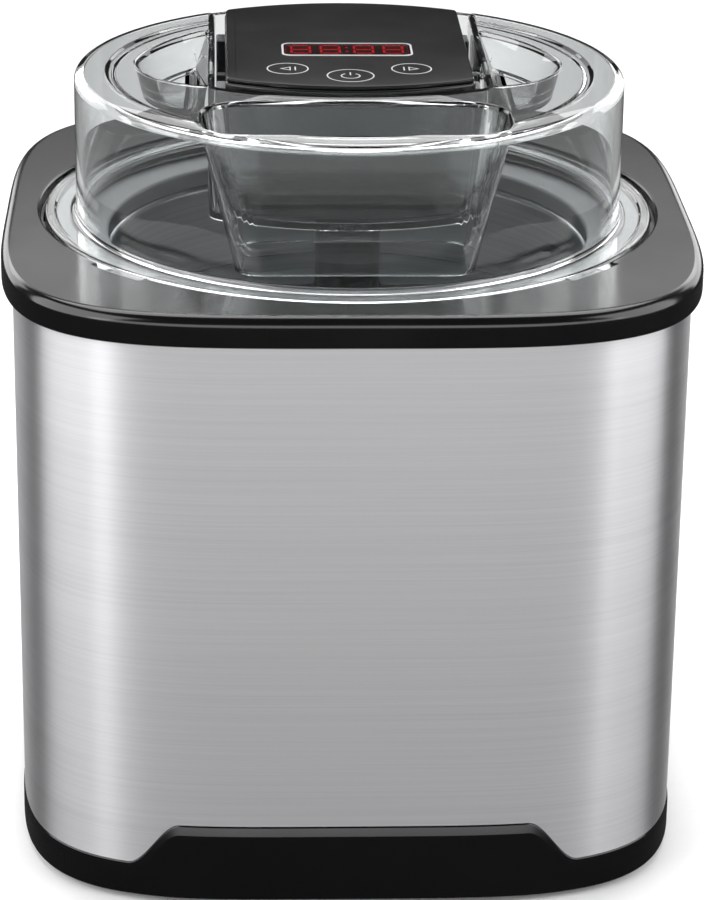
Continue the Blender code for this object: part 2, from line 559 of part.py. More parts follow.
def make_motor_case():
    """Motor unit's lower case, top cover, panel and their screws."""
    plan = motor_plan(CASE_HALF, CASE_REAR, CASE_FRONT)
    hollow = motor_plan(CASE_HALF - CASE_WALL, CASE_REAR - CASE_WALL, CASE_FRONT + CASE_WALL)
    case = prism("motor_lower_case", plan, *CASE, MATT_BLACK)
    cut(case, prism("tool", hollow, CASE[0] + CASE_WALL, CASE[1] + MM, MATT_BLACK),
        cylinder(9.0 * MM, CASE[0] - MM, CASE[0] + 4 * MM, sides=20))
    for side in (-1, 1):
        for near_y, far_y in GUIDE_RIBS:
            fuse(case, box("tool", *ordered(side, (CASE_HALF - MM, near_y, CASE[0] + 4 * MM),
                                            (BAY_HALF - 0.5 * MM, far_y, CASE[1] - MM)), MATT_BLACK))
    low_z, high_z = BUTTON_Z - GAP, BUTTON_Z + BUTTON_SIZE[1] + GAP
    half_y = BUTTON_SIZE[0] / 2 + GAP
    for side in (-1, 1):
        near, far = sorted((side * (CASE_HALF - 4 * MM), side * (CASE_HALF + MM)))
        cut(case, box("tool", (near, BUTTON_Y - half_y, low_z), (far, BUTTON_Y + half_y, high_z),
                      MATT_BLACK))
    cut(case, box("tool", (-7 * MM, CASE_REAR - 5 * MM, JACK[0]), (7 * MM, CASE_REAR + MM, JACK[1]),
                  MATT_BLACK))

    cover_plan = motor_plan(PANEL_HALF, PANEL_REAR, PANEL_FRONT)
    cover = prism("motor_top_cover", cover_plan, *COVER, GLOSS_BLACK)
    inner_plan = motor_plan(CASE_HALF - CASE_WALL, CASE_REAR - CASE_WALL, PANEL_FRONT + 2 * MM)
    cut(cover, prism("tool", inner_plan, COVER[0] - MM, COVER[1] - COVER_SKIN, GLOSS_BLACK))
    lip_plan = [(x, y) for x, y in motor_plan(CASE_HALF, 60 * MM, CASE_FRONT) if y < 0.0]
    lip_plan += [(CASE_HALF, 2 * MM), (-CASE_HALF, 2 * MM)]
    fuse(cover, cut(prism("tool_lip", lip_plan, COVER[0], COVER[0] + 1.6 * MM, GLOSS_BLACK),
                    prism("tool", inner_plan, COVER[0] - MM, COVER[1], GLOSS_BLACK)))
    for side in (-1, 1):
        for row, (x, y) in enumerate(CASE_SCREWS):
            place = ("front" if row == 0 else "rear") + ("_left" if side < 0 else "_right")
            fuse(case, cylinder(CASE_POST, CASE[0] + MM, COVER[0] - 0.5 * MM, side * x, y, 12))
            cut(case, cylinder(SCREW_HOLE, CASE[0] - MM, COVER[0] + MM, side * x, y, 12),
                cylinder(SCREW_HEAD + GAP, CASE[0] - MM, CASE[0] + 2.4 * MM, side * x, y, 12))
            fuse(cover, cylinder(3.6 * MM, COVER[0], COVER[1] - MM, side * x, y, 12))
            cut(cover, cylinder(SCREW_HOLE, COVER[0] - MM, COVER[1] - 1.2 * MM, side * x, y, 12))
            screw(f"case_screw_{place}", side * x, y, CASE[0] + 2.2 * MM, COVER[1] - 1.6 * MM)
    display_low, display_high = DISPLAY_Y - DISPLAY_SIZE[1] / 2, DISPLAY_Y + DISPLAY_SIZE[1] / 2

    panel = prism("control_panel", motor_plan(PANEL_HALF - 0.5 * MM, PANEL_REAR - 0.5 * MM,
                                              PANEL_FRONT + 0.5 * MM), *PANEL, PANEL_BLACK)
    window_rings = [rounded_box(DISPLAY_SIZE[0] / 2, display_low, display_high, 2 * MM, z, 3)
                    for z in (COVER[0], PANEL[1] + MM)]
    cut(panel, skin("tool", window_rings, PANEL_BLACK))
    cut(cover, box("tool", (-DISPLAY_SIZE[0] / 2 + MM, display_low + MM, COVER[0]),
                   (DISPLAY_SIZE[0] / 2 - MM, display_high - MM, COVER[1] + MM), GLOSS_BLACK))
    skin("display_window", [rounded_box(DISPLAY_SIZE[0] / 2 - GAP, display_low + GAP, display_high - GAP,
                                        1.7 * MM, z, 3) for z in PANEL], GLASS_RED)


def make_electronics():
    """Display module, circuit board, touch springs, motor, gear plate and inlet jack."""
    half_x, half_y = DISPLAY_SIZE[0] / 2 - 2 * MM, DISPLAY_SIZE[1] / 2 - 2 * MM
    box("led_display", (-half_x, DISPLAY_Y - half_y, PCB[1] + GAP),
        (half_x, DISPLAY_Y + half_y, COVER[1] - 0.4 * MM), ("led_display", (0.35, 0.01, 0.01), 0.3))
    box("control_board", (-27 * MM, -17 * MM, PCB[0]), (27 * MM, 40 * MM, PCB[1]), BOARD_GREEN)
    spring = []
    low, high = PCB[1] + GAP, COVER[1] - COVER_SKIN - GAP
    turns = 4
    for step in range(2 * turns + 1):
        spring.append((3.6 * MM if step % 2 else 3.1 * MM, low + (high - low) * step / (2 * turns)))
    for place, x, y in KEYS:
        turned(f"touch_spring_{place}", spring + [(2.6 * MM, high), (2.6 * MM, low)], BRASS, 12,
               (x, y, 0.0))

    turned("motor", ((0.0, MOTOR[0]), (MOTOR_RADIUS, MOTOR[0]), (MOTOR_RADIUS, MOTOR[1] - 3 * MM),
                     (MOTOR_RADIUS - 2 * MM, MOTOR[1] - 1.5 * MM), (6 * MM, MOTOR[1] - 1.5 * MM),
                     (5 * MM, MOTOR[1]), (0.0, MOTOR[1])), SCREW_STEEL, 20, (0.0, MOTOR_Y, 0.0))
    cut(bpy.data.objects["motor"], cylinder(2.4 * MM, MOTOR[0] - MM, MOTOR[0] + 6 * MM, 0.0, MOTOR_Y, 16))
    plate = box("gear_plate", (-27 * MM, -19 * MM, GEAR_PLATE[0]), (27 * MM, 70 * MM, GEAR_PLATE[1]),
                SCREW_STEEL)
    cut(plate, cylinder(6.0 * MM, GEAR_PLATE[0] - MM, GEAR_PLATE[1] + MM, sides=24),
        cylinder(1.8 * MM, GEAR_PLATE[0] - MM, GEAR_PLATE[1] + MM, 0.0, IDLER_Y, 12),
        cylinder(3.0 * MM, GEAR_PLATE[0] - MM, GEAR_PLATE[1] + MM, 0.0, MOTOR_Y, 16))
    post_low = CASE[0] + CASE_WALL + GAP
    for number, (x, y) in enumerate(((-24, -15), (24, -15), (-24, 65), (24, 65)), 1):
        turned(f"plate_post_{number}",
               ((0.0, post_low), (2.5 * MM, post_low), (2.5 * MM, GEAR_PLATE[0] - GAP),
                (0.0, GEAR_PLATE[0] - GAP)), BRASS, 12, (x * MM, y * MM, 0.0))
    cylinder(1.5 * MM, CASE[0] + CASE_WALL + GAP, GEAR_PLATE[1] + MM, 0.0, IDLER_Y, 12, "idler_axle",
             SCREW_STEEL)
    bush_top = LOWER_GEARS[0] - 0.6 * MM
    turned("lower_bush", ((8.7 * MM, CASE[0]), (8.7 * MM, bush_top), (SHAFT_RADIUS + GAP, bush_top),
                          (SHAFT_RADIUS + GAP, CASE[0])), BRASS, 20)
    turned("upper_bush", ((5.7 * MM, GEAR_PLATE[0]), (5.7 * MM, GEAR_PLATE[1]),
                          (3.3 * MM, GEAR_PLATE[1]), (3.3 * MM, GEAR_PLATE[0])), BRASS, 16)
    jack = box("power_jack", (-6.7 * MM, CASE_REAR - 9 * MM, JACK[0] + GAP),
               (6.7 * MM, CASE_REAR - 0.4 * MM, JACK[1] - GAP), MATT_BLACK)
    middle = (JACK[0] + JACK[1]) / 2
    bore = [[Vector((3.2 * MM * math.cos(TURN * k / 16), y, middle + 3.2 * MM * math.sin(TURN * k / 16)))
             for k in range(16)] for y in (CASE_REAR - 7 * MM, CASE_REAR + MM)]
    cut(jack, skin("tool", bore, MATT_BLACK))


def gear_plan(teeth, phase, bore=0.0):
    """Plan of a spur gear with straight-flanked teeth; a tooth is centred on the phase bearing."""
    pitch = GEAR_MODULE * teeth / 2
    root, tip = pitch - 1.25 * GEAR_MODULE, pitch + 0.85 * GEAR_MODULE
    step = TURN / teeth
    outline = []
    for tooth in range(teeth):
        centre = phase + tooth * step
        for share, radius in ((-0.30, root), (-0.105, tip), (0.105, tip), (0.30, root)):
            turn = centre + share * step
            outline.append((radius * math.cos(turn), radius * math.sin(turn)))
    return outline


def make_gear_train():
    """Motor pinion, compound idler, output gear and output shaft."""
    towards_motor, towards_output = math.pi / 2, -math.pi / 2
    pinion = prism("motor_pinion", gear_plan(PINION_TEETH, towards_output + TURN / PINION_TEETH / 2),
                   *UPPER_GEARS, BRASS, (0.0, MOTOR_Y, 0.0))
    fuse(pinion, cylinder(1.9 * MM, UPPER_GEARS[1] - MM, MOTOR[0] + 5 * MM, 0.0, MOTOR_Y, 12))
    idler = prism("idler_gear", gear_plan(IDLER_TEETH, towards_motor), *UPPER_GEARS, ACETAL,
                  (0.0, IDLER_Y, 0.0))
    small = prism("tool", gear_plan(PINION_TEETH, towards_output + TURN / PINION_TEETH / 2),
                  LOWER_GEARS[0], UPPER_GEARS[0] + MM, ACETAL, (0.0, IDLER_Y, 0.0))
    fuse(idler, small)
    cut(idler, cylinder(1.5 * MM + GAP, CASE[0], GEAR_PLATE[1], 0.0, IDLER_Y, 12))
    output = prism("output_gear", gear_plan(OUTPUT_TEETH, towards_motor), *LOWER_GEARS, ACETAL)
    cut(output, cylinder(SHAFT_RADIUS + GAP, CASE[0], GEAR_PLATE[1], sides=24))
    shoulder = LOWER_GEARS[1] + GAP
    shaft = turned("output_shaft",
                   ((0.0, 203.0 * MM), (SHAFT_RADIUS, 203.0 * MM), (SHAFT_RADIUS, shoulder),
                    (SHAFT_RADIUS + 1.5 * MM, shoulder), (SHAFT_RADIUS + 1.5 * MM, shoulder + 1.5 * MM),
                    (3.0 * MM, shoulder + 1.5 * MM), (3.0 * MM, GEAR_PLATE[1] + 0.5 * MM),
                    (0.0, GEAR_PLATE[1] + 0.5 * MM)), SCREW_STEEL, 24)
    fuse(shaft, skin("tool", [circle(HEX_RADIUS - MM, SHAFT_TIP, 6), circle(HEX_RADIUS, SHAFT_TIP + MM, 6),
                              circle(HEX_RADIUS, 203.5 * MM, 6)], SCREW_STEEL))


def make_buttons():
    """Sprung release buttons on both sides of the motor unit, and their springs."""
    half_y = BUTTON_SIZE[0] / 2
    top = BUTTON_Z + BUTTON_SIZE[1]
    middle = BUTTON_Z + BUTTON_SIZE[1] / 2
    stop = CASE_HALF - CASE_WALL - GAP
    for side, place in ((-1, "left"), (1, "right")):
        pad = box(f"release_button_{place}", *ordered(side, (stop - MM, BUTTON_Y - half_y, BUTTON_Z),
                                                      (BUTTON_FACE, BUTTON_Y + half_y, top)), GREY)
        reach = half_y + 1.5 * MM
        flange = box("tool", *ordered(side, (stop - 2 * MM, BUTTON_Y - reach, BUTTON_Z - 1.5 * MM),
                                      (stop, BUTTON_Y + reach, top + MM)), GREY)
        fuse(pad, flange)
        bore = side_ring_stack(side, 2.6 * MM, (stop - 3 * MM, stop + 5 * MM), middle)
        cut(pad, bore)
        spring_rings = (stop - 7 * MM, stop + 2.2 * MM)
        skin_coil(f"button_spring_{place}", side, spring_rings, middle)


def ordered(side, low, high):
    """Mirror a box's corners to the left when side is -1 and keep them in order."""
    xs = sorted((side * low[0], side * high[0]))
    return (xs[0], *low[1:]), (xs[1], *high[1:])


def side_ring_stack(side, radius, span, z):
    """A cylinder lying along x, used as a tool."""
    turns = [TURN * k / 12 for k in range(12)]
    rings = [[Vector((side * x, BUTTON_Y + radius * math.cos(turn), z + radius * math.sin(turn)))
              for turn in turns] for x in span]
    return skin("tool", rings, GREY)


def skin_coil(name, side, span, z):
    """A button's return spring, drawn as a ribbed sleeve lying along x."""
    ribs = 8
    radii = [2.2 * MM if rib % 2 else 1.8 * MM for rib in range(ribs + 1)]
    places = [span[0] + (span[1] - span[0]) * rib / ribs for rib in range(ribs + 1)]
    rings = []
    for radius, x in [*zip(radii, places), (1.3 * MM, span[1]), (1.3 * MM, span[0])]:
        rings.append([Vector((side * x, BUTTON_Y + radius * math.cos(TURN * k / 10),
                              z + radius * math.sin(TURN * k / 10))) for k in range(10)])
    skin(name, rings, SCREW_STEEL, True)


def blade(name, inner, outer, bottom, top, pitch, side):
    """One upright paddle blade, pitched about its own upright line."""
    middle = (inner + outer) / 2
    half = (outer - inner) / 2
    outline = []
    for u, v in ((-half, -2 * MM), (half, -0.8 * MM), (half, 0.8 * MM), (-half, 2 * MM)):
        x = middle + u * math.cos(pitch) - v * math.sin(pitch)
        y = u * math.sin(pitch) + v * math.cos(pitch)
        outline.append((side * x, side * y))
    return prism(name, outline, bottom, top, MATT_BLACK)


def make_paddle():
    """Mixing paddle: hub with a hexagonal socket, shoulder, side blades and bottom scraper."""
    paddle = turned("mixing_paddle",
                    ((0.0, PADDLE_SHOULDER - 12 * MM), (HUB_RADIUS - 3 * MM, PADDLE_SHOULDER - 12 * MM),
                     (HUB_RADIUS, PADDLE_SHOULDER), (HUB_RADIUS, HUB_TOP), (0.0, HUB_TOP)), MATT_BLACK, 24)
    blade_inner = PADDLE_REACH - 19 * MM
    for side in (-1, 1):
        fuse(paddle, blade("tool", blade_inner, PADDLE_REACH, PADDLE_BOTTOM, PADDLE_SHOULDER,
                           math.radians(24), side))
    bar = PADDLE_REACH - 9 * MM
    fuse(paddle, box("tool", (-bar, -2.6 * MM, PADDLE_SHOULDER - 8 * MM), (bar, 2.6 * MM, PADDLE_SHOULDER),
                     MATT_BLACK),
         box("tool", (-bar, -2.2 * MM, PADDLE_BOTTOM), (bar, 2.2 * MM, PADDLE_BOTTOM + 11 * MM),
             MATT_BLACK),
         cylinder(6.5 * MM, PADDLE_BOTTOM - MM, PADDLE_BOTTOM + 14 * MM, sides=20, look=MATT_BLACK))
    cut(paddle, cylinder(PIVOT_RADIUS + 0.6 * MM, 0.0, PIVOT_TOP + MM, sides=16),
        skin("tool", [circle(HEX_RADIUS + 0.6 * MM, z, 6) for z in (SOCKET_FLOOR, HUB_TOP + MM)],
             MATT_BLACK))


def main():
    """Build every sub-part."""
    clear_scene()
    make_base()
    make_steel_wrap()
    make_bucket()
    make_collar()
    make_bowl()
    make_lid()
    make_motor_case()
    make_electronics()
    make_gear_train()
    make_buttons()
    make_paddle()


main()
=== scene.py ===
"""Finished model of a counter-top ice cream maker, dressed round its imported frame.

Every length is in metres in the frame's own axes: +Z up, the front towards -Y, the origin on
the floor under the middle of the housing. Sizes come from the frame's nodes or are fields of
the class that makes the piece.
"""
import logging
import math
from collections.abc import Callable, Iterable, Sequence
from dataclasses import dataclass, field
from enum import Enum

import bmesh
import bpy
from mathutils import Matrix, Vector


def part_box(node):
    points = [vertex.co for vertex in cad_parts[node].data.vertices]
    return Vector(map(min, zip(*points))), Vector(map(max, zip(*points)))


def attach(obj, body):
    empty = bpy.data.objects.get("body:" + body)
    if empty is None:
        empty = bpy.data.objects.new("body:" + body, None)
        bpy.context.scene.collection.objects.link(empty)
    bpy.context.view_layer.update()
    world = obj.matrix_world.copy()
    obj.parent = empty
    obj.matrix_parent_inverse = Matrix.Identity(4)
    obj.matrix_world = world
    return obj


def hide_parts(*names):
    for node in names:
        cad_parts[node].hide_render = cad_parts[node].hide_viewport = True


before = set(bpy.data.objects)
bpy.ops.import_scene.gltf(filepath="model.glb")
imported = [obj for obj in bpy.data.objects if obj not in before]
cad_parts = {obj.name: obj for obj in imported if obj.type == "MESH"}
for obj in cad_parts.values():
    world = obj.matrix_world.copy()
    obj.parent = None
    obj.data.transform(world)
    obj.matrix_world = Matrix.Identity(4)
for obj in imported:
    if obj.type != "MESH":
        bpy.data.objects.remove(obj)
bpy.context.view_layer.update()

LOG = logging.getLogger("ice_cream_maker")
MM = 0.001
TURN = 2.0 * math.pi
ROUND_SIDES = 192                 # points round a large turned piece
PLAN_SIDES = 480                  # points round the housing's plan
ARC_STEP = math.radians(11.0)     # longest arc between two points of a rounded corner

Point = tuple[float, float]
Outline = list[Point]
Ring = list[Vector]


# ---- mesh kit ------------------------------------------------------------------------
@dataclass(frozen=True)
class Corner:
    """A corner of a section or an outline, with the radius that rounds it."""

    x: float
    y: float
    radius: float = 0.0


def low(node: str) -> Vector:
    """Lowest corner of a node of the frame."""
    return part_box(node)[0]


def high(node: str) -> Vector:
    """Highest corner of a node of the frame."""
    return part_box(node)[1]


def middle(node: str) -> Vector:
    """Centre of a node of the frame."""
    return (low(node) + high(node)) / 2.0


def arc(centre: Point, radius: float, start: float, end: float, steps: int) -> Outline:
    """Points along an arc, both ends included."""
    turns = (start + (end - start) * step / steps for step in range(steps + 1))
    return [(centre[0] + radius * math.cos(t), centre[1] + radius * math.sin(t)) for t in turns]


def rounded(corners: Sequence[Corner], closed: bool = True) -> Outline:
    """Replace each corner of a polygon by an arc of its radius.

    Args:
        corners: the corners in order, each with its radius.
        closed: whether the last corner joins the first; an open line keeps its two ends.

    Returns:
        The points of the rounded line.
    """
    line: Outline = []
    for index, corner in enumerate(corners):
        is_end = not closed and index in (0, len(corners) - 1)
        if corner.radius <= 0.0 or is_end:
            line.append((corner.x, corner.y))
            continue
        here = Vector((corner.x, corner.y))
        before, after = corners[index - 1], corners[(index + 1) % len(corners)]
        back = Vector((before.x, before.y)) - here
        ahead = Vector((after.x, after.y)) - here
        opening = back.angle(ahead)
        reach = min(corner.radius / math.tan(opening / 2), 0.499 * back.length, 0.499 * ahead.length)
        radius = reach * math.tan(opening / 2)
        towards = (back.normalized() + ahead.normalized()).normalized()
        centre = here + towards * (radius / math.sin(opening / 2))
        first = here + back.normalized() * reach - centre
        last = here + ahead.normalized() * reach - centre
        start = math.atan2(first.y, first.x)
        sweep = (math.atan2(last.y, last.x) - start + math.pi) % TURN - math.pi
        steps = max(2, math.ceil(abs(sweep) / ARC_STEP))
        line += arc((centre.x, centre.y), radius, start, start + sweep, steps)
    return line


def offset(outline: Outline, distance: float) -> Outline:
    """Grow a smooth anticlockwise outline by a distance; a negative distance shrinks it."""
    grown: Outline = []
    count = len(outline)
    for index, (x, y) in enumerate(outline):
        px, py = outline[index - 1]
        nx, ny = outline[(index + 1) % count]
        one = Vector((y - py, px - x)).normalized()
        two = Vector((ny - y, x - nx)).normalized()
        normal = (one + two).normalized()
        share = distance / max(0.5, normal.dot(one))
        grown.append((x + normal.x * share, y + normal.y * share))
    return grown


def at_height(outline: Iterable[Point], z: float) -> Ring:
    """A plan outline as a ring of points at one height."""
    return [Vector((x, y, z)) for x, y in outline]


def circle(radius: float, z: float, sides: int = ROUND_SIDES, centre: Point = (0.0, 0.0)) -> Ring:
    """A ring of points about an upright axis, or one point when the radius is nil."""
    if radius <= 1e-9:
        return [Vector((*centre, z))]
    return at_height(arc(centre, radius, 0.0, TURN, sides)[:-1], z)


def new_piece(name: str, mesh: bpy.types.Mesh) -> bpy.types.Object:
    """Link a mesh to the scene as an object at the origin."""
    piece = bpy.data.objects.new(name, mesh)
    bpy.context.scene.collection.objects.link(piece)
    return piece


def skin(name: str, rings: Sequence[Ring], closed: bool = False) -> bpy.types.Object:
    """Skin rings of points into one closed shell.

    Args:
        name: name of the piece.
        rings: rings with the same number of points; a ring of one point is a pole.
        closed: whether the last ring joins the first; otherwise both ends are capped.

    Returns:
        The piece, its faces pointing outwards.
    """
    shell = bmesh.new()
    made = [[shell.verts.new(point) for point in ring] for ring in rings]
    pairs = list(zip(made, made[1:] + made[:1])) if closed else list(zip(made, made[1:]))
    for one, two in pairs:
        count = max(len(one), len(two))
        if count < 2:
            continue
        for here in range(count):
            there = (here + 1) % count
            ends = (one[here % len(one)], one[there % len(one)], two[there % len(two)], two[here % len(two)])
            shell.faces.new(list(dict.fromkeys(ends)))
    if not closed:
        for ring in (made[0], made[-1]):
            if len(ring) > 2:
                shell.faces.new(ring)
    bmesh.ops.recalc_face_normals(shell, faces=shell.faces)
    mesh = bpy.data.meshes.new(name)
    shell.to_mesh(mesh)
    shell.free()
    return new_piece(name, mesh)


def turned(name: str, corners: Sequence[Corner], sides: int = ROUND_SIDES,
           centre: Point = (0.0, 0.0)) -> bpy.types.Object:
    """Turn a closed section of (radius, height) corners about an upright axis."""
    return skin(name, [circle(r, z, sides, centre) for r, z in rounded(corners)], closed=True)


def moulded(name: str, plan: Outline, section: Sequence[Corner]) -> bpy.types.Object:
    """A capped solid of one plan, its edge following an open section of (growth, height) corners."""
    return skin(name, [at_height(offset(plan, grow), z) for grow, z in rounded(section, closed=False)])


def boxed(name: str, lowest: Vector, highest: Vector, radius: float) -> bpy.types.Object:
    """A block with rounded upright edges and eased top and bottom edges."""
    plan = rectangle(lowest.x, highest.x, lowest.y, highest.y, radius)
    ease = 0.6 * radius
    return moulded(name, plan, (Corner(-ease * 2, lowest.z), Corner(0, lowest.z, ease),
                                Corner(0, highest.z, ease), Corner(-ease * 2, highest.z)))


def rectangle(x0: float, x1: float, y0: float, y1: float, radius: float) -> Outline:
    """A rectangle with rounded corners, anticlockwise."""
    places = ((x1, y0), (x1, y1), (x0, y1), (x0, y0))
    return rounded([Corner(x, y, radius) for x, y in places])


def combine(target: bpy.types.Object, operation: str, *tools: bpy.types.Object) -> bpy.types.Object:
    """Cut, fuse or intersect the target with each closed tool and remove the tools."""
    for tool in tools:
        modifier = target.modifiers.new(operation.lower(), "BOOLEAN")
        modifier.operation = operation
        modifier.solver = "MANIFOLD"
        modifier.object = tool
        bake(target)
        bpy.data.objects.remove(tool, do_unlink=True)
    return target


def cut(target: bpy.types.Object, *tools: bpy.types.Object) -> bpy.types.Object:
    """Take the tools' volumes out of the target."""
    return combine(target, "DIFFERENCE", *tools)


def fuse(target: bpy.types.Object, *tools: bpy.types.Object) -> bpy.types.Object:
    """Join the tools to the target as one body."""
    return combine(target, "UNION", *tools)


def bake(piece: bpy.types.Object) -> bpy.types.Object:
    """Replace a piece's mesh by its evaluated one and drop its modifiers."""
    bpy.context.view_layer.update()
    graph = bpy.context.evaluated_depsgraph_get()
    result = bpy.data.meshes.new_from_object(piece.evaluated_get(graph))
    piece.modifiers.clear()
    old = piece.data
    piece.data = result
    bpy.data.meshes.remove(old)
    result.name = piece.name
    return piece


def settle(piece: bpy.types.Object, angle: float = 32.0) -> bpy.types.Object:
    """Weld slivers, shade smooth up to an angle in degrees and let flat faces keep their normals."""
    shell = bmesh.new()
    shell.from_mesh(piece.data)
    bmesh.ops.remove_doubles(shell, verts=shell.verts, dist=0.002 * MM)
    bmesh.ops.dissolve_degenerate(shell, edges=shell.edges, dist=0.001 * MM)
    shell.to_mesh(piece.data)
    shell.free()
    piece.data.shade_smooth()
    piece.data.set_sharp_from_angle(angle=math.radians(angle))
    weigh = piece.modifiers.new("weigh", "WEIGHTED_NORMAL")
    weigh.mode = "FACE_AREA_WITH_ANGLE"
    weigh.keep_sharp = True
    return bake(piece)


# ---- shader kit ----------------------------------------------------------------------
def linear(colour: str) -> tuple[float, float, float, float]:
    """Linear RGBA of an sRGB hex colour such as '#1c1c1e'."""
    def channel(start: int) -> float:
        """One channel of the hex colour, turned to linear."""
        value = int(colour[start:start + 2], 16) / 255.0
        return value / 12.92 if value <= 0.04045 else ((value + 0.055) / 1.055) ** 2.4
    return (channel(1), channel(3), channel(5), 1.0)


def add(tree: bpy.types.NodeTree, kind: str, inputs: dict | None = None, **settings) -> bpy.types.Node:
    """Add a node with its settings, and set or link its inputs.

    Args:
        tree: the node tree.
        kind: the node's type name.
        inputs: input name or number to a value, or to the output socket that feeds it.
        **settings: the node's own properties.

    Returns:
        The new node.
    """
    node = tree.nodes.new(kind)
    for key, value in settings.items():
        setattr(node, key, value)
    for key, value in (inputs or {}).items():
        if isinstance(value, bpy.types.NodeSocket):
            tree.links.new(value, node.inputs[key])
        else:
            node.inputs[key].default_value = value
    return node


def blank_material(name: str) -> tuple[bpy.types.Material, bpy.types.NodeTree, bpy.types.Node]:
    """A new material with only its Principled shader and output."""
    made = bpy.data.materials.new(name)
    made.use_nodes = True
    return made, made.node_tree, made.node_tree.nodes["Principled BSDF"]


def object_space(tree: bpy.types.NodeTree, scale: tuple[float, float, float]) -> bpy.types.NodeSocket:
    """Object coordinates scaled to a pattern's frequency in each direction, per metre."""
    place = add(tree, "ShaderNodeTexCoord")
    return add(tree, "ShaderNodeMapping",
               {"Vector": place.outputs["Object"], "Scale": scale}).outputs["Vector"]


def noise(tree: bpy.types.NodeTree, vector: bpy.types.NodeSocket, detail: float = 3.0,
          roughness: float = 0.55) -> bpy.types.NodeSocket:
    """A noise pattern of unit scale on given coordinates."""
    return add(tree, "ShaderNodeTexNoise", {"Vector": vector, "Scale": 1.0, "Detail": detail,
                                            "Roughness": roughness}).outputs["Fac"]


def spread(tree: bpy.types.NodeTree, value: bpy.types.NodeSocket, low_value: float,
           high_value: float) -> bpy.types.NodeSocket:
    """Map a pattern's middle range onto two limits."""
    return add(tree, "ShaderNodeMapRange", {"Value": value, "From Min": 0.3, "From Max": 0.7,
                                            "To Min": low_value, "To Max": high_value}).outputs["Result"]


def tint(tree: bpy.types.NodeTree, value: bpy.types.NodeSocket, dark: str,
         light: str) -> bpy.types.NodeSocket:
    """Blend two colours by a pattern."""
    ramp = add(tree, "ShaderNodeMix", {0: value, 6: linear(dark), 7: linear(light)}, data_type="RGBA")
    return ramp.outputs[2]


def bump(tree: bpy.types.NodeTree, height: bpy.types.NodeSocket, depth: float,
         strength: float = 1.0) -> bpy.types.NodeSocket:
    """A normal from a height pattern of a given depth in metres."""
    return add(tree, "ShaderNodeBump", {"Height": height, "Distance": depth,
                                        "Strength": strength}).outputs["Normal"]


class Brushing(Enum):
    """Which way a metal's brush lines run."""

    LEVEL = "level, round the housing"
    TURNED = "in circles about the bowl's axis"


@dataclass(frozen=True)
class GlossMoulding:
    """High-gloss ABS from a polished tool: sharp reflections with a faint ripple and faint smears."""

    name: str
    dark: str = "#070708"
    light: str = "#0b0b0c"
    roughness: tuple[float, float] = (0.13, 0.20)
    ripple_mm: float = 9.0
    mirror: float = 0.5               # strength of the reflections; half is that of clear plastic

    def material(self) -> bpy.types.Material:
        """Build the finish."""
        made, tree, shader = blank_material(self.name)
        smear = noise(tree, object_space(tree, (22.0, 22.0, 22.0)), 4.0)
        tree.links.new(tint(tree, smear, self.dark, self.light), shader.inputs["Base Color"])
        tree.links.new(spread(tree, smear, *self.roughness), shader.inputs["Roughness"])
        per_metre = 1.0 / (self.ripple_mm * MM)
        ripple = noise(tree, object_space(tree, (per_metre,) * 3), 1.0)
        tree.links.new(bump(tree, ripple, 0.012 * MM, 0.5), shader.inputs["Normal"])
        shader.inputs["IOR"].default_value = 1.54
        shader.inputs["Specular IOR Level"].default_value = self.mirror
        return made


@dataclass(frozen=True)
class GrainedMoulding:
    """ABS or polypropylene from a spark-eroded tool: a fine pebble grain that softens the gloss."""

    name: str
    dark: str
    light: str
    roughness: tuple[float, float] = (0.42, 0.55)
    grain_mm: float = 0.7             # drawn coarser than the real 0.2 mm so that it shows
    depth_mm: float = 0.02

    def material(self) -> bpy.types.Material:
        """Build the finish."""
        made, tree, shader = blank_material(self.name)
        per_metre = 1.0 / (self.grain_mm * MM)
        grain = noise(tree, object_space(tree, (per_metre,) * 3), 2.0, 0.7)
        cloud = noise(tree, object_space(tree, (30.0,) * 3), 3.0)
        tree.links.new(tint(tree, cloud, self.dark, self.light), shader.inputs["Base Color"])
        tree.links.new(spread(tree, grain, *self.roughness), shader.inputs["Roughness"])
        tree.links.new(bump(tree, grain, self.depth_mm * MM), shader.inputs["Normal"])
        shader.inputs["IOR"].default_value = 1.5
        return made


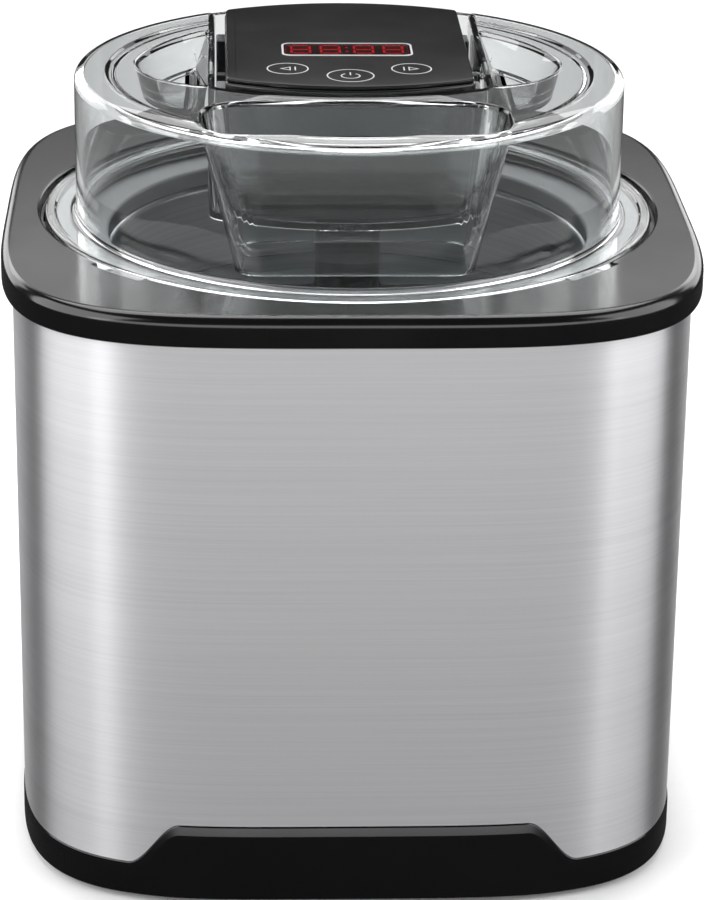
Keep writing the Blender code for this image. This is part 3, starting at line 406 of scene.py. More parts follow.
@dataclass(frozen=True)
class BrushedMetal:
    """Metal sheet or bar with brush lines: streaks stretch the highlights across the lines."""

    name: str
    dark: str
    light: str
    brushing: Brushing
    roughness: tuple[float, float] = (0.2, 0.34)
    line_mm: float = 0.55             # drawn coarser than the real 0.1 mm so that it shows
    anisotropy: float = 0.7
    depth_mm: float = 0.006

    def coordinates(self, tree: bpy.types.NodeTree, across: float, along: float) -> bpy.types.NodeSocket:
        """Coordinates with fine steps across the brush lines and long ones along them."""
        if self.brushing is Brushing.LEVEL:
            return object_space(tree, (along, along, across))
        place = add(tree, "ShaderNodeTexCoord").outputs["Object"]
        apart = add(tree, "ShaderNodeSeparateXYZ", {"Vector": place})
        flat = add(tree, "ShaderNodeCombineXYZ", {"X": apart.outputs["X"], "Y": apart.outputs["Y"]})
        reach = add(tree, "ShaderNodeVectorMath", {0: flat.outputs[0]}, operation="LENGTH").outputs["Value"]
        joined = add(tree, "ShaderNodeCombineXYZ", {"X": reach, "Y": apart.outputs["Z"]}).outputs[0]
        return add(tree, "ShaderNodeMapping", {"Vector": joined, "Scale": (across, across, 1.0)}).outputs[0]

    def material(self) -> bpy.types.Material:
        """Build the finish."""
        made, tree, shader = blank_material(self.name)
        across = 1.0 / (self.line_mm * MM)
        fine = noise(tree, self.coordinates(tree, across, 9.0), 3.0, 0.8)
        broad = noise(tree, self.coordinates(tree, across / 2.0, 4.0), 2.0, 0.6)
        both = add(tree, "ShaderNodeMath", {0: fine, 1: broad}, operation="ADD").outputs[0]
        lines = add(tree, "ShaderNodeMath", {0: both, 1: 0.5}, operation="MULTIPLY").outputs[0]
        tree.links.new(tint(tree, spread(tree, lines, 0.0, 1.0), self.dark, self.light),
                       shader.inputs["Base Color"])
        tree.links.new(spread(tree, lines, *self.roughness), shader.inputs["Roughness"])
        tree.links.new(bump(tree, fine, self.depth_mm * MM, 0.4), shader.inputs["Normal"])
        shader.inputs["Metallic"].default_value = 1.0
        shader.inputs["Anisotropic"].default_value = self.anisotropy
        shader.inputs["Anisotropic Rotation"].default_value = 0.25
        tangent = add(tree, "ShaderNodeTangent", direction_type="RADIAL", axis="Z")
        tree.links.new(tangent.outputs["Tangent"], shader.inputs["Tangent"])
        return made


@dataclass(frozen=True)
class PlainMetal:
    """Plated steel, brass or motor tinplate: even, with slight tarnish clouds."""

    name: str
    dark: str
    light: str
    roughness: tuple[float, float] = (0.2, 0.35)

    def material(self) -> bpy.types.Material:
        """Build the finish."""
        made, tree, shader = blank_material(self.name)
        cloud = noise(tree, object_space(tree, (180.0,) * 3), 4.0)
        tree.links.new(tint(tree, cloud, self.dark, self.light), shader.inputs["Base Color"])
        tree.links.new(spread(tree, cloud, *self.roughness), shader.inputs["Roughness"])
        shader.inputs["Metallic"].default_value = 1.0
        return made


@dataclass(frozen=True)
class ClearMoulding:
    """Clear styrene-acrylonitrile from a mirror-polished tool: neutral, with the faintest flow lines."""

    name: str
    colour: str = "#fbfdfd"
    roughness: float = 0.0
    index: float = 1.57
    shade: str = "#c0c2c2"

    def material(self) -> bpy.types.Material:
        """Build the finish; lamps shine through it, as they do through real clear plastic."""
        made, tree, shader = blank_material(self.name)
        shader.inputs["Base Color"].default_value = linear(self.colour)
        shader.inputs["Roughness"].default_value = self.roughness
        shader.inputs["IOR"].default_value = self.index
        shader.inputs["Transmission Weight"].default_value = 1.0
        flow = noise(tree, object_space(tree, (60.0,) * 3), 1.0)
        tree.links.new(bump(tree, flow, 0.01 * MM, 0.3), shader.inputs["Normal"])
        output = tree.nodes["Material Output"]
        path = add(tree, "ShaderNodeLightPath")
        gap = add(tree, "ShaderNodeBsdfTransparent", {"Color": linear(self.shade)})
        mix = add(tree, "ShaderNodeMixShader", {0: path.outputs["Is Shadow Ray"], 1: shader.outputs[0],
                                                2: gap.outputs[0]})
        tree.links.new(mix.outputs[0], output.inputs["Surface"])
        return made


@dataclass(frozen=True)
class SoftMoulding:
    """Rubber or silicone: dull, slightly uneven, and a little light goes in."""

    name: str
    dark: str
    light: str
    roughness: tuple[float, float] = (0.55, 0.75)
    depth: float = 0.0

    def material(self) -> bpy.types.Material:
        """Build the finish."""
        made, tree, shader = blank_material(self.name)
        bloom = noise(tree, object_space(tree, (260.0,) * 3), 4.0)
        tree.links.new(tint(tree, bloom, self.dark, self.light), shader.inputs["Base Color"])
        tree.links.new(spread(tree, bloom, *self.roughness), shader.inputs["Roughness"])
        tree.links.new(bump(tree, bloom, 0.03 * MM, 0.4), shader.inputs["Normal"])
        shader.inputs["Subsurface Weight"].default_value = self.depth
        shader.inputs["Subsurface Scale"].default_value = 2.0 * MM
        return made


@dataclass(frozen=True)
class TintedLens:
    """Dark tinted acrylic over the display: glossy, and only the lit segments show through."""

    name: str
    colour: str

    def material(self) -> bpy.types.Material:
        """Build the finish."""
        made, tree, shader = blank_material(self.name)
        shader.inputs["Base Color"].default_value = linear(self.colour)
        shader.inputs["Transmission Weight"].default_value = 1.0
        shader.inputs["IOR"].default_value = 1.49
        haze = noise(tree, object_space(tree, (120.0,) * 3), 3.0)
        tree.links.new(spread(tree, haze, 0.02, 0.06), shader.inputs["Roughness"])
        return made


@dataclass(frozen=True)
class LitSegment:
    """Red light-emitting segments, their colour varied at random by a fine noise."""

    name: str
    colour: str
    strength: float

    def material(self) -> bpy.types.Material:
        """Build the finish."""
        made, tree, shader = blank_material(self.name)
        glow = noise(tree, object_space(tree, (900.0,) * 3), 2.0)
        tree.links.new(tint(tree, glow, "#7a1220", "#c8283a"), shader.inputs["Base Color"])
        shader.inputs["Emission Color"].default_value = linear(self.colour)
        shader.inputs["Emission Strength"].default_value = self.strength
        shader.inputs["Roughness"].default_value = 0.4
        return made


@dataclass(frozen=True)
class SolderMask:
    """Green lacquered board: copper tracks show as slightly lighter, raised lines."""

    name: str
    track_mm: float = 2.2

    def material(self) -> bpy.types.Material:
        """Build the finish."""
        made, tree, shader = blank_material(self.name)
        per_metre = 1.0 / (self.track_mm * MM)
        cells = add(tree, "ShaderNodeTexVoronoi",
                    {"Vector": object_space(tree, (per_metre,) * 3), "Scale": 1.0},
                    feature="DISTANCE_TO_EDGE")
        track = add(tree, "ShaderNodeMapRange", {"Value": cells.outputs["Distance"], "From Min": 0.05,
                                                 "From Max": 0.12, "To Min": 1.0, "To Max": 0.0}).outputs[0]
        tree.links.new(tint(tree, track, "#0c3b1c", "#1c6a34"), shader.inputs["Base Color"])
        tree.links.new(bump(tree, track, 0.03 * MM), shader.inputs["Normal"])
        shader.inputs["Roughness"].default_value = 0.28
        return made


class Finish(Enum):
    """The finishes of the machine: the record's material slot, and how the real surface looks."""

    GLOSS_BLACK = "gloss_black", GlossMoulding("polished_black_abs")
    MATT_BLACK = "matt_black", GrainedMoulding("grained_black_abs", "#0e0e10", "#161618")
    BRUSHED_STEEL = "brushed_steel", BrushedMetal("brushed_stainless_steel", "#e0e0e2", "#eaeaec",
                                                  Brushing.LEVEL,
                                                  (0.39, 0.43), 0.4, 0.85, 0.003)
    SCREW_STEEL = "screw_steel", PlainMetal("zinc_plated_steel", "#8c8d90", "#aeb0b3")
    GREY_PLASTIC = "grey_plastic", GrainedMoulding("grained_grey_polypropylene", "#77787a", "#818284",
                                                   depth_mm=0.012)
    WHITE_PLASTIC = "white_plastic", GrainedMoulding("satin_white_polypropylene", "#b2b2af", "#bcbcb9",
                                                     (0.3, 0.42), 1.1, 0.008)
    RUBBER = "rubber", SoftMoulding("moulded_rubber", "#121212", "#1d1d1d")
    SILICONE = "silicone", SoftMoulding("grey_silicone", "#74777a", "#808386", (0.4, 0.55), 0.3)
    ALUMINIUM = "aluminium", BrushedMetal("spun_aluminium", "#b9bbbe", "#d2d4d6", Brushing.TURNED,
                                          (0.26, 0.4), 0.9,
                                          0.55)
    COOLANT = "coolant", SoftMoulding("frozen_coolant", "#5c93c4", "#8ab9e0", (0.2, 0.4), 0.5)
    CLEAR_PLASTIC = "clear_plastic", ClearMoulding("polished_clear_styrene")
    PANEL_BLACK = "panel_black", GlossMoulding("lacquered_panel_film", "#161617", "#1b1b1d", (0.07, 0.11),
                                               14.0, 0.2)
    DISPLAY_WINDOW = "display_window", TintedLens("tinted_acrylic", "#6a2a30")
    LED_DISPLAY = "led_display", GrainedMoulding("potted_display_block", "#141011", "#1b1516")
    LED_SEGMENTS = "led_display", LitSegment("lit_display_segments", "#ff2438", 1.1)
    CIRCUIT_BOARD = "circuit_board", SolderMask("solder_mask_on_copper")
    BRASS = "brass", PlainMetal("turned_brass", "#a8884a", "#c9a863", (0.22, 0.38))
    ACETAL = "acetal", GrainedMoulding("moulded_acetal", "#dedcd4", "#e8e6df", (0.3, 0.42), 0.9, 0.006)
    PRINT = "panel_black", GrainedMoulding("screen_print_grey", "#b9babb", "#c6c7c8", (0.35, 0.45), 0.5,
                                           0.002)

    @property
    def slot(self) -> str:
        """The record's material slot."""
        return self.value[0]

    def material(self) -> bpy.types.Material:
        """The finish's material, built once."""
        look = self.value[1]
        return bpy.data.materials.get(look.name) or look.material()


# ---- geometry node kit ---------------------------------------------------------------
SOCKETS = {float: "NodeSocketFloat", int: "NodeSocketInt", Vector: "NodeSocketVector",
           bpy.types.Material: "NodeSocketMaterial"}


@dataclass
class Recipe:
    """A geometry node tree with named inputs, baked into plain meshes."""

    name: str
    inputs: dict[str, type]
    tree: bpy.types.NodeTree = field(init=False)
    source: bpy.types.Node = field(init=False)

    def __post_init__(self) -> None:
        """Make the empty tree and its named inputs."""
        self.tree = bpy.data.node_groups.new(self.name, "GeometryNodeTree")
        face = self.tree.interface
        face.new_socket("Geometry", in_out="INPUT", socket_type="NodeSocketGeometry")
        for label, kind in self.inputs.items():
            face.new_socket(label, in_out="INPUT", socket_type=SOCKETS[kind])
        face.new_socket("Geometry", in_out="OUTPUT", socket_type="NodeSocketGeometry")
        self.source = self.tree.nodes.new("NodeGroupInput")

    def add(self, kind: str, inputs: dict | None = None, **settings) -> bpy.types.Node:
        """Add a node to the tree."""
        return add(self.tree, kind, inputs, **settings)

    def given(self, label: str) -> bpy.types.NodeSocket:
        """A named input of the tree."""
        return self.source.outputs[label]

    def end(self, geometry: bpy.types.NodeSocket) -> None:
        """Close the tree: real geometry with its material set."""
        real = self.add("GeometryNodeRealizeInstances", {"Geometry": geometry})
        dressed = self.add("GeometryNodeSetMaterial", {"Geometry": real.outputs[0],
                                                       "Material": self.given("Material")})
        self.add("NodeGroupOutput", {"Geometry": dressed.outputs[0]})

    def make(self, name: str, places: Sequence[Vector], values: dict) -> bpy.types.Object:
        """Run the tree on a set of points and return the result as a plain piece."""
        mesh = bpy.data.meshes.new(name)
        mesh.from_pydata([tuple(place) for place in places], [], [])
        piece = new_piece(name, mesh)
        modifier = piece.modifiers.new(self.name, "NODES")
        modifier.node_group = self.tree
        for item in self.tree.interface.items_tree:
            if item.in_out == "INPUT" and item.name in values:
                modifier[item.identifier] = values[item.name]
        return bake(piece)


def screw_recipe() -> Recipe:
    """Pan-head cross-recess screws, pointing up, one at each point."""
    recipe = Recipe("pan_head_screws", {"Head Radius": float, "Head Height": float, "Shank Radius": float,
                                        "Shank Length": float, "Material": bpy.types.Material})
    given = recipe.given
    head = recipe.add("GeometryNodeMeshCylinder",
                      {"Vertices": 32, "Side Segments": 1, "Radius": given("Head Radius"),
                                                   "Depth": given("Head Height")})
    half = recipe.add("ShaderNodeMath", {0: given("Head Height"), 1: 0.5}, operation="MULTIPLY").outputs[0]
    drop = recipe.add("ShaderNodeMath", {0: half, 1: -1.0}, operation="MULTIPLY").outputs[0]
    wide = recipe.add("ShaderNodeMath", {0: given("Head Radius"), 1: 1.15}, operation="MULTIPLY").outputs[0]
    narrow = recipe.add("ShaderNodeMath", {0: given("Head Radius"), 1: 0.28}, operation="MULTIPLY").outputs[0]
    slots = []
    for x, y in ((wide, narrow), (narrow, wide)):
        size = recipe.add("ShaderNodeCombineXYZ", {"X": x, "Y": y, "Z": given("Head Height")}).outputs[0]
        bar = recipe.add("GeometryNodeMeshCube", {"Size": size}).outputs["Mesh"]
        down = recipe.add("ShaderNodeCombineXYZ", {"Z": drop}).outputs[0]
        slots.append(recipe.add("GeometryNodeTransform", {"Geometry": bar, "Translation": down}).outputs[0])
    recess = recipe.add("GeometryNodeMeshBoolean", {"Mesh 1": head.outputs["Mesh"]}, operation="DIFFERENCE")
    for slot in slots:
        recipe.tree.links.new(slot, recess.inputs["Mesh 2"])
    raised = recipe.add("GeometryNodeTransform", {
        "Geometry": recess.outputs["Mesh"],
        "Translation": recipe.add("ShaderNodeCombineXYZ", {"Z": drop}).outputs[0]}).outputs[0]
    thread = recipe.add("GeometryNodeMeshCylinder", {"Vertices": 20, "Radius": given("Shank Radius"),
                                                     "Depth": given("Shank Length")})
    lift = recipe.add("ShaderNodeMath", {0: given("Shank Length"), 1: 0.5}, operation="MULTIPLY").outputs[0]
    shank = recipe.add("GeometryNodeTransform", {
        "Geometry": thread.outputs["Mesh"],
        "Translation": recipe.add("ShaderNodeCombineXYZ", {"Z": lift}).outputs[0]}).outputs[0]
    whole = recipe.add("GeometryNodeMeshBoolean", {"Mesh 2": raised}, operation="UNION")
    recipe.tree.links.new(shank, whole.inputs["Mesh 2"])
    placed = recipe.add("GeometryNodeInstanceOnPoints", {"Points": given("Geometry"),
                                                         "Instance": whole.outputs["Mesh"]})
    recipe.end(placed.outputs[0])
    return recipe


def spring_recipe() -> Recipe:
    """A coil spring at each point, standing along +Z or lying along +X."""
    recipe = Recipe("coil_springs", {"Radius": float, "Length": float, "Turns": float, "Wire": float,
                                     "Lean": Vector, "Material": bpy.types.Material})
    given = recipe.given
    coil = recipe.add("GeometryNodeCurveSpiral", {"Resolution": 20, "Rotations": given("Turns"),
                                                  "Start Radius": given("Radius"),
                                                  "End Radius": given("Radius"),
                                                  "Height": given("Length")})
    wire = recipe.add("GeometryNodeCurvePrimitiveCircle", {"Resolution": 8, "Radius": given("Wire")})
    tube = recipe.add("GeometryNodeCurveToMesh", {"Curve": coil.outputs[0], "Profile Curve": wire.outputs[0],
                                                  "Fill Caps": True})
    leaning = recipe.add("GeometryNodeTransform", {"Geometry": tube.outputs[0], "Rotation": given("Lean")})
    smooth = recipe.add("GeometryNodeSetShadeSmooth", {"Geometry": leaning.outputs[0]})
    placed = recipe.add("GeometryNodeInstanceOnPoints",
                        {"Points": given("Geometry"), "Instance": smooth.outputs[0]})
    recipe.end(placed.outputs[0])
    return recipe


def component_recipe() -> Recipe:
    """Small surface-mounted blocks in rows on the board, their sizes varied by a seed."""
    recipe = Recipe("board_components", {"Width": float, "Depth": float, "Columns": int, "Rows": int,
                                         "Size": Vector, "Seed": int, "Material": bpy.types.Material})
    given = recipe.given
    grid = recipe.add("GeometryNodeMeshGrid", {"Size X": given("Width"), "Size Y": given("Depth"),
                                               "Vertices X": given("Columns"), "Vertices Y": given("Rows")})
    block = recipe.add("GeometryNodeMeshCube", {"Size": given("Size")})
    vary = recipe.add("FunctionNodeRandomValue", {"Seed": given("Seed")}, data_type="FLOAT_VECTOR")
    vary.inputs[0].default_value = (0.6, 0.6, 0.7)
    vary.inputs[1].default_value = (1.3, 1.5, 1.2)
    on_grid = recipe.add("GeometryNodeInstanceOnPoints", {"Points": grid.outputs["Mesh"],
                                                          "Instance": block.outputs["Mesh"],
                                                          "Scale": vary.outputs[0]})
    moved = recipe.add("GeometryNodeInstanceOnPoints",
                       {"Points": given("Geometry"), "Instance": on_grid.outputs[0]})
    recipe.end(moved.outputs[0])
    return recipe


# ---- shared build step ---------------------------------------------------------------
@dataclass
class Assembly:
    """A sub-assembly whose pieces ride on bodies of the frame."""

    pieces: list[bpy.types.Object] = field(default_factory=list, init=False)

    def dress(self, piece: bpy.types.Object, body: str, finish: Finish,
              nodes: Sequence[str] = ()) -> bpy.types.Object:
        """Give a piece its finish, put it on its body and let it stand for nodes of the frame.

        Args:
            piece: the finished piece.
            body: the body that it moves with.
            finish: its finish.
            nodes: the nodes that it replaces.

        Returns:
            The same piece.
        """
        piece.data.materials.clear()
        piece.data.materials.append(finish.material())
        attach(piece, body)
        if nodes:
            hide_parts(*nodes)
        finish.slot
        self.pieces.append(piece)
        LOG.info("%s on %s, %d faces", piece.name, body, len(piece.data.polygons))
        return piece


def arc_block(name: str, span: Point, radii: Point, heights: Point, ease: float) -> bpy.types.Object:
    """A block between two bearings in degrees and two radii, its corners eased."""
    first, last = (math.radians(bearing) for bearing in span)
    outer = arc((0.0, 0.0), radii[1], first, last, 12)
    inner = arc((0.0, 0.0), radii[0], last, first, 12)
    return moulded(name, outer + inner, (Corner(-ease, heights[0]), Corner(0.0, heights[0] + ease),
                                         Corner(0.0, heights[1] - ease), Corner(-ease, heights[1])))


def mirrored(span: Point) -> Point:
    """The same bearings on the other side of the machine."""
    return (180.0 - span[1], 180.0 - span[0])


# ---- plans and places ----------------------------------------------------------------
def soften(outline: Outline, reach: float, step: float = 1.0 * MM) -> Outline:
    """Space a closed outline evenly and round its corners by averaging along it.

    Args:
        outline: the closed outline.
        reach: how far along the line a corner's rounding starts.
        step: spacing of the points that are returned.

    Returns:
        The rounded outline.
    """
    ends = [Vector(point) for point in outline]
    lengths = [(ends[(i + 1) % len(ends)] - end).length for i, end in enumerate(ends)]
    count = max(24, round(sum(lengths) / step))
    spacing, even, walked, index = sum(lengths) / count, [], 0.0, 0
    for number in range(count):
        target = number * spacing
        while walked + lengths[index] < target:
            walked += lengths[index]
            index += 1
        share = (target - walked) / lengths[index]
        even.append(ends[index].lerp(ends[(index + 1) % len(ends)], share))
    window = max(1, round(reach / spacing / 2))
    for _ in range(2):
        even = [sum((even[(i + k) % count] for k in range(-window, window + 1)), Vector((0.0, 0.0)))
                / (2 * window + 1) for i in range(count)]
    return [(point.x, point.y) for point in even]


def motor_plan(half: float, rear: float, front: float, curve: float, reach: float) -> Outline:
    """Plan of the motor unit: straight sides, a rear arc about the axis and a bowed front."""
    corner = math.acos(half / rear)
    outline = arc((0.0, 0.0), rear, corner, math.pi - corner, 40)
    side = math.asin(half / curve)
    outline += arc((0.0, front + curve), curve, 1.5 * math.pi - side, 1.5 * math.pi + side, 40)
    return soften(outline, reach)


@dataclass(frozen=True)
class HousingPlan:
    """A superellipse with a half width, a half depth and an exponent that squares its corners."""

    half: Point
    exponent: float

    def bearings(self) -> list[float]:
        """Bearings round the plan, closer together at its corners."""
        even = (TURN * step / PLAN_SIDES for step in range(PLAN_SIDES))
        return [turn + 0.6 * math.sin(4.0 * turn) / 4.0 for turn in even]

    def ring(self, grow: float, z: float) -> Ring:
        """The plan, grown by a distance, at one height."""
        points = []
        for turn in self.bearings():
            wide = abs(math.cos(turn) / self.half[0]) ** self.exponent
            deep = abs(math.sin(turn) / self.half[1]) ** self.exponent
            reach = (wide + deep) ** (-1.0 / self.exponent)
            points.append((reach * math.cos(turn), reach * math.sin(turn)))
        return at_height(offset(points, grow), z)

    def bore(self, radius: float, z: float) -> Ring:
        """A circle with the plan's bearings, so that the two can be skinned together."""
        return [Vector((radius * math.cos(turn), radius * math.sin(turn), z)) for turn in self.bearings()]


@dataclass(frozen=True)
class PlateEdge:
    """Top edge of the housing's plastic foot: level, and raised over the front by two easy S-curves."""

    foot_height: float
    plate_height: float
    half_top: float = 57.0 * MM
    half_foot: float = 74.0 * MM

    def share(self, place: Vector) -> float:
        """Nil off the plate, one on it, and smooth between."""
        if place.y >= 0.0:
            return 0.0
        value = min(1.0, max(0.0, (self.half_foot - abs(place.x)) / (self.half_foot - self.half_top)))
        return value * value * (3.0 - 2.0 * value)

    def height(self, place: Vector) -> float:
        """Height of the edge over a place in the plan."""
        return self.foot_height + self.share(place) * (self.plate_height - self.foot_height)


# ---- housing -------------------------------------------------------------------------
def band_recipe() -> Recipe:
    """Sheet-metal band on a superellipse plan, its foot raised over the front by an S-curve."""
    recipe = Recipe("steel_band",
                    {"Half Width": float, "Half Depth": float, "Exponent": float, "Sheet": float,
                                   "Foot": float, "Top": float, "Plate Foot": float, "Plate Half": float,
                                   "Foot Half": float, "Columns": int, "Material": bpy.types.Material})
    given, add_node = recipe.given, recipe.add

    def maths(operation: str, *terms: object) -> bpy.types.NodeSocket:
        """One arithmetic step of the rule."""
        return add_node("ShaderNodeMath", dict(enumerate(terms)), operation=operation).outputs[0]

    grid = add_node("GeometryNodeMeshGrid", {"Size X": 1.0, "Size Y": 1.0, "Vertices X": given("Columns"),
                                             "Vertices Y": 5})
    place = add_node("ShaderNodeSeparateXYZ", {0: add_node("GeometryNodeInputPosition").outputs[0]})
    turn = maths("MULTIPLY", maths("ADD", place.outputs["X"], 0.5), TURN)
    row = maths("ROUND", maths("MULTIPLY", maths("ADD", place.outputs["Y"], 0.5), 4.0))
    is_inner = maths("COMPARE", row, 2.5, 0.6)
    is_top = maths("COMPARE", row, 1.5, 0.6)
    inset = maths("MULTIPLY", is_inner, given("Sheet"))
    power = maths("DIVIDE", 2.0, given("Exponent"))

    def along(function: str, half: str) -> bpy.types.NodeSocket:
        """Signed power of the sine or cosine, times the inset half size."""
        wave = maths(function, turn)
        size = maths("MULTIPLY", maths("POWER", maths("ABSOLUTE", wave), power), maths("SIGN", wave))
        return maths("MULTIPLY", size, maths("SUBTRACT", given(half), inset))

    x, y = along("COSINE", "Half Width"), along("SINE", "Half Depth")
    eased = add_node("ShaderNodeMapRange", {"Value": maths("ABSOLUTE", x), "From Min": given("Foot Half"),
                                            "From Max": given("Plate Half"), "To Min": 0.0, "To Max": 1.0},
                     interpolation_type="SMOOTHSTEP").outputs[0]
    share = maths("MULTIPLY", eased, maths("LESS_THAN", y, 0.0))
    rise = maths("MULTIPLY", share, maths("SUBTRACT", given("Plate Foot"), given("Foot")))
    foot = maths("ADD", given("Foot"), rise)
    z = maths("ADD", foot, maths("MULTIPLY", is_top, maths("SUBTRACT", given("Top"), foot)))
    moved = add_node("GeometryNodeSetPosition", {
        "Geometry": grid.outputs["Mesh"],
        "Position": add_node("ShaderNodeCombineXYZ", {"X": x, "Y": y, "Z": z}).outputs[0]})
    closed = add_node("GeometryNodeMergeByDistance", {"Geometry": moved.outputs[0], "Distance": 0.01 * MM})
    recipe.end(closed.outputs[0])
    return recipe


def bar_recipe() -> Recipe:
    """The same small bar at every point: ribs, vents, display segments and contacts."""
    recipe = Recipe("bars", {"Size": Vector, "Lean": Vector, "Material": bpy.types.Material})
    given = recipe.given
    bar = recipe.add("GeometryNodeMeshCube", {"Size": given("Size"), "Vertices X": 3, "Vertices Y": 3})
    placed = recipe.add("GeometryNodeInstanceOnPoints", {"Points": given("Geometry"),
                                                         "Instance": bar.outputs["Mesh"],
                                                         "Rotation": given("Lean")})
    recipe.end(placed.outputs[0])
    return recipe


@dataclass
class Workshop:
    """The node recipes that several assemblies share."""

    screws: Recipe = field(default_factory=screw_recipe)
    springs: Recipe = field(default_factory=spring_recipe)
    bars: Recipe = field(default_factory=bar_recipe)
    components: Recipe = field(default_factory=component_recipe)

    def screw(self, node: str, shank_radius: float) -> bpy.types.Object:
        """A pan-head screw in the place of a node of the frame."""
        lowest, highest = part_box(node)
        head = 1.8 * MM
        return self.screws.make(node + "_finished",
                                [Vector((middle(node).x, middle(node).y, lowest.z + head))], {
            "Head Radius": (highest.x - lowest.x) / 2, "Head Height": head, "Shank Radius": shank_radius,
            "Shank Length": highest.z - lowest.z - head, "Material": Finish.SCREW_STEEL.material()})


@dataclass
class Housing(Assembly):
    """Collar, steel band, foot moulding, bottom plate, feet and the inner bucket."""

    shop: Workshop
    body_exponent: float = 4.2
    collar_exponent: float = 4.0
    sheet: float = 1.0 * MM
    collar_round: float = 3.6 * MM
    chamfer: float = 3.0 * MM
    bore_radius: float = 103.8 * MM
    throat_radius: float = 100.6 * MM
    ledge: float = 201.0 * MM
    bucket_radius: float = 101.0 * MM
    bucket_wall: float = 2.2 * MM
    notch: Point = (-50.3, -37.5)
    lug_slot: float = 4.5
    rib_count: int = 9
    rib_pitch: float = 14.0 * MM

    def build(self) -> None:
        """Make every piece of the housing."""
        half = high("steel_wrap")
        self.plan = HousingPlan((half.x, half.y), self.body_exponent)
        top = high("base_skirt").z
        self.edge = PlateEdge(low("steel_wrap").z - 0.3 * MM, top)
        self.make_collar()
        self.make_band()
        self.make_skirt()
        self.make_bucket()
        self.make_underside()

    def make_collar(self) -> None:
        """Glossy collar with a generously rounded outer edge, the lid's recess and its notches."""
        lowest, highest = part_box("collar")
        plan = HousingPlan((highest.x, highest.y), self.collar_exponent)
        outer = rounded((Corner(-8 * MM, lowest.z), Corner(0.0, lowest.z, 1.0 * MM),
                         Corner(0.0, highest.z, self.collar_round), Corner(-9 * MM, highest.z)), closed=False)
        inner = rounded((Corner(self.bore_radius + 4 * MM, highest.z),
                         Corner(self.bore_radius, highest.z, 0.9 * MM),
                         Corner(self.bore_radius, self.ledge, 0.5 * MM),
                         Corner(self.throat_radius, self.ledge, 0.4 * MM),
                         Corner(self.throat_radius, lowest.z)), closed=False)
        rings = [plan.ring(grow, z) for grow, z in outer[:-1]] + [plan.bore(r, z) for r, z in inner[1:]]
        collar = skin("collar_finished", rings, closed=True)
        for span in (self.notch, mirrored(self.notch)):
            cut(collar, arc_block("tool", span, (self.bore_radius - 3 * MM, self.bore_radius + 3.2 * MM),
                                  (self.ledge, highest.z + 2 * MM), 0.3 * MM))
        for bearing in (0.0, 180.0):
            span = (bearing - self.lug_slot, bearing + self.lug_slot)
            cut(collar, arc_block("tool", span, (self.throat_radius - 2 * MM, self.throat_radius + 2.0 * MM),
                                  (lowest.z - 2 * MM, self.ledge + 2 * MM), 0.3 * MM))
        self.dress(settle(collar), "housing", Finish.GLOSS_BLACK, ["collar"])

    def make_band(self) -> None:
        """Brushed steel band between the foot and the collar."""
        recipe = band_recipe()
        lowest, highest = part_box("steel_wrap")
        band = recipe.make("steel_wrap_finished", [Vector((0.0, 0.0, 0.0))], {
            "Half Width": highest.x, "Half Depth": highest.y, "Exponent": self.body_exponent,
            "Sheet": self.sheet,
            "Foot": lowest.z, "Top": highest.z, "Plate Foot": self.edge.plate_height + 0.3 * MM,
            "Plate Half": self.edge.half_top, "Foot Half": self.edge.half_foot, "Columns": PLAN_SIDES + 1,
            "Material": Finish.BRUSHED_STEEL.material()})
        self.dress(settle(band), "housing", Finish.BRUSHED_STEEL, ["steel_wrap"])

    def make_skirt(self) -> None:
        """Foot moulding whose chamfered top edge sweeps up over the front as one plate."""
        lowest = low("base_skirt").z
        proud, inner = 0.4 * MM, -3.0 * MM
        base = self.plan.ring(0.0, 0.0)

        def ring(grow: float, plate_grow: float, rise: Callable[[Vector], float]) -> Ring:
            """The plan with its growth and height eased between the foot and the plate."""
            foot, plate = self.plan.ring(grow, 0.0), self.plan.ring(plate_grow, 0.0)
            line = []
            for spot, one, two in zip(base, foot, plate):
                place = one.lerp(two, self.edge.share(spot))
                line.append(Vector((place.x, place.y, rise(spot))))
            return line

        def level(z: float) -> Callable[[Vector], float]:
            """A level height."""
            return lambda spot: z

        def under_edge(drop: float) -> Callable[[Vector], float]:
            """A height that follows the top edge."""
            return lambda spot: self.edge.height(spot) - drop

        lip = 2.0 * MM
        rings = [ring(inner, inner, level(lowest + 0.8 * MM)), ring(-1.4 * MM, -1.4 * MM, level(lowest))]
        for grow, z in rounded((Corner(-1.4 * MM, lowest), Corner(0.0, lowest, 1.3 * MM),
                                Corner(0.0, lowest + 6 * MM)), closed=False)[1:-1]:
            rings.append(ring(proud + grow, 2 * proud + grow, level(z)))
        rings += [ring(proud, 2 * proud, under_edge(self.chamfer + 0.25 * MM)),
                  ring(proud - 0.03 * MM, 2 * proud - 0.04 * MM, under_edge(self.chamfer)),
                  ring(0.06 * MM, 0.1 * MM, under_edge(0.3 * MM)),
                  ring(-0.15 * MM, -0.15 * MM, under_edge(0.0)),
                  ring(-1.2 * MM, -1.2 * MM, under_edge(0.0)),
                  ring(-1.2 * MM, -1.2 * MM, under_edge(-lip)),
                  ring(inner, inner, under_edge(-lip))]
        skirt = skin("base_skirt_finished", rings, closed=True)
        self.dress(settle(skirt, 20.0), "housing", Finish.GLOSS_BLACK, ["base_skirt"])

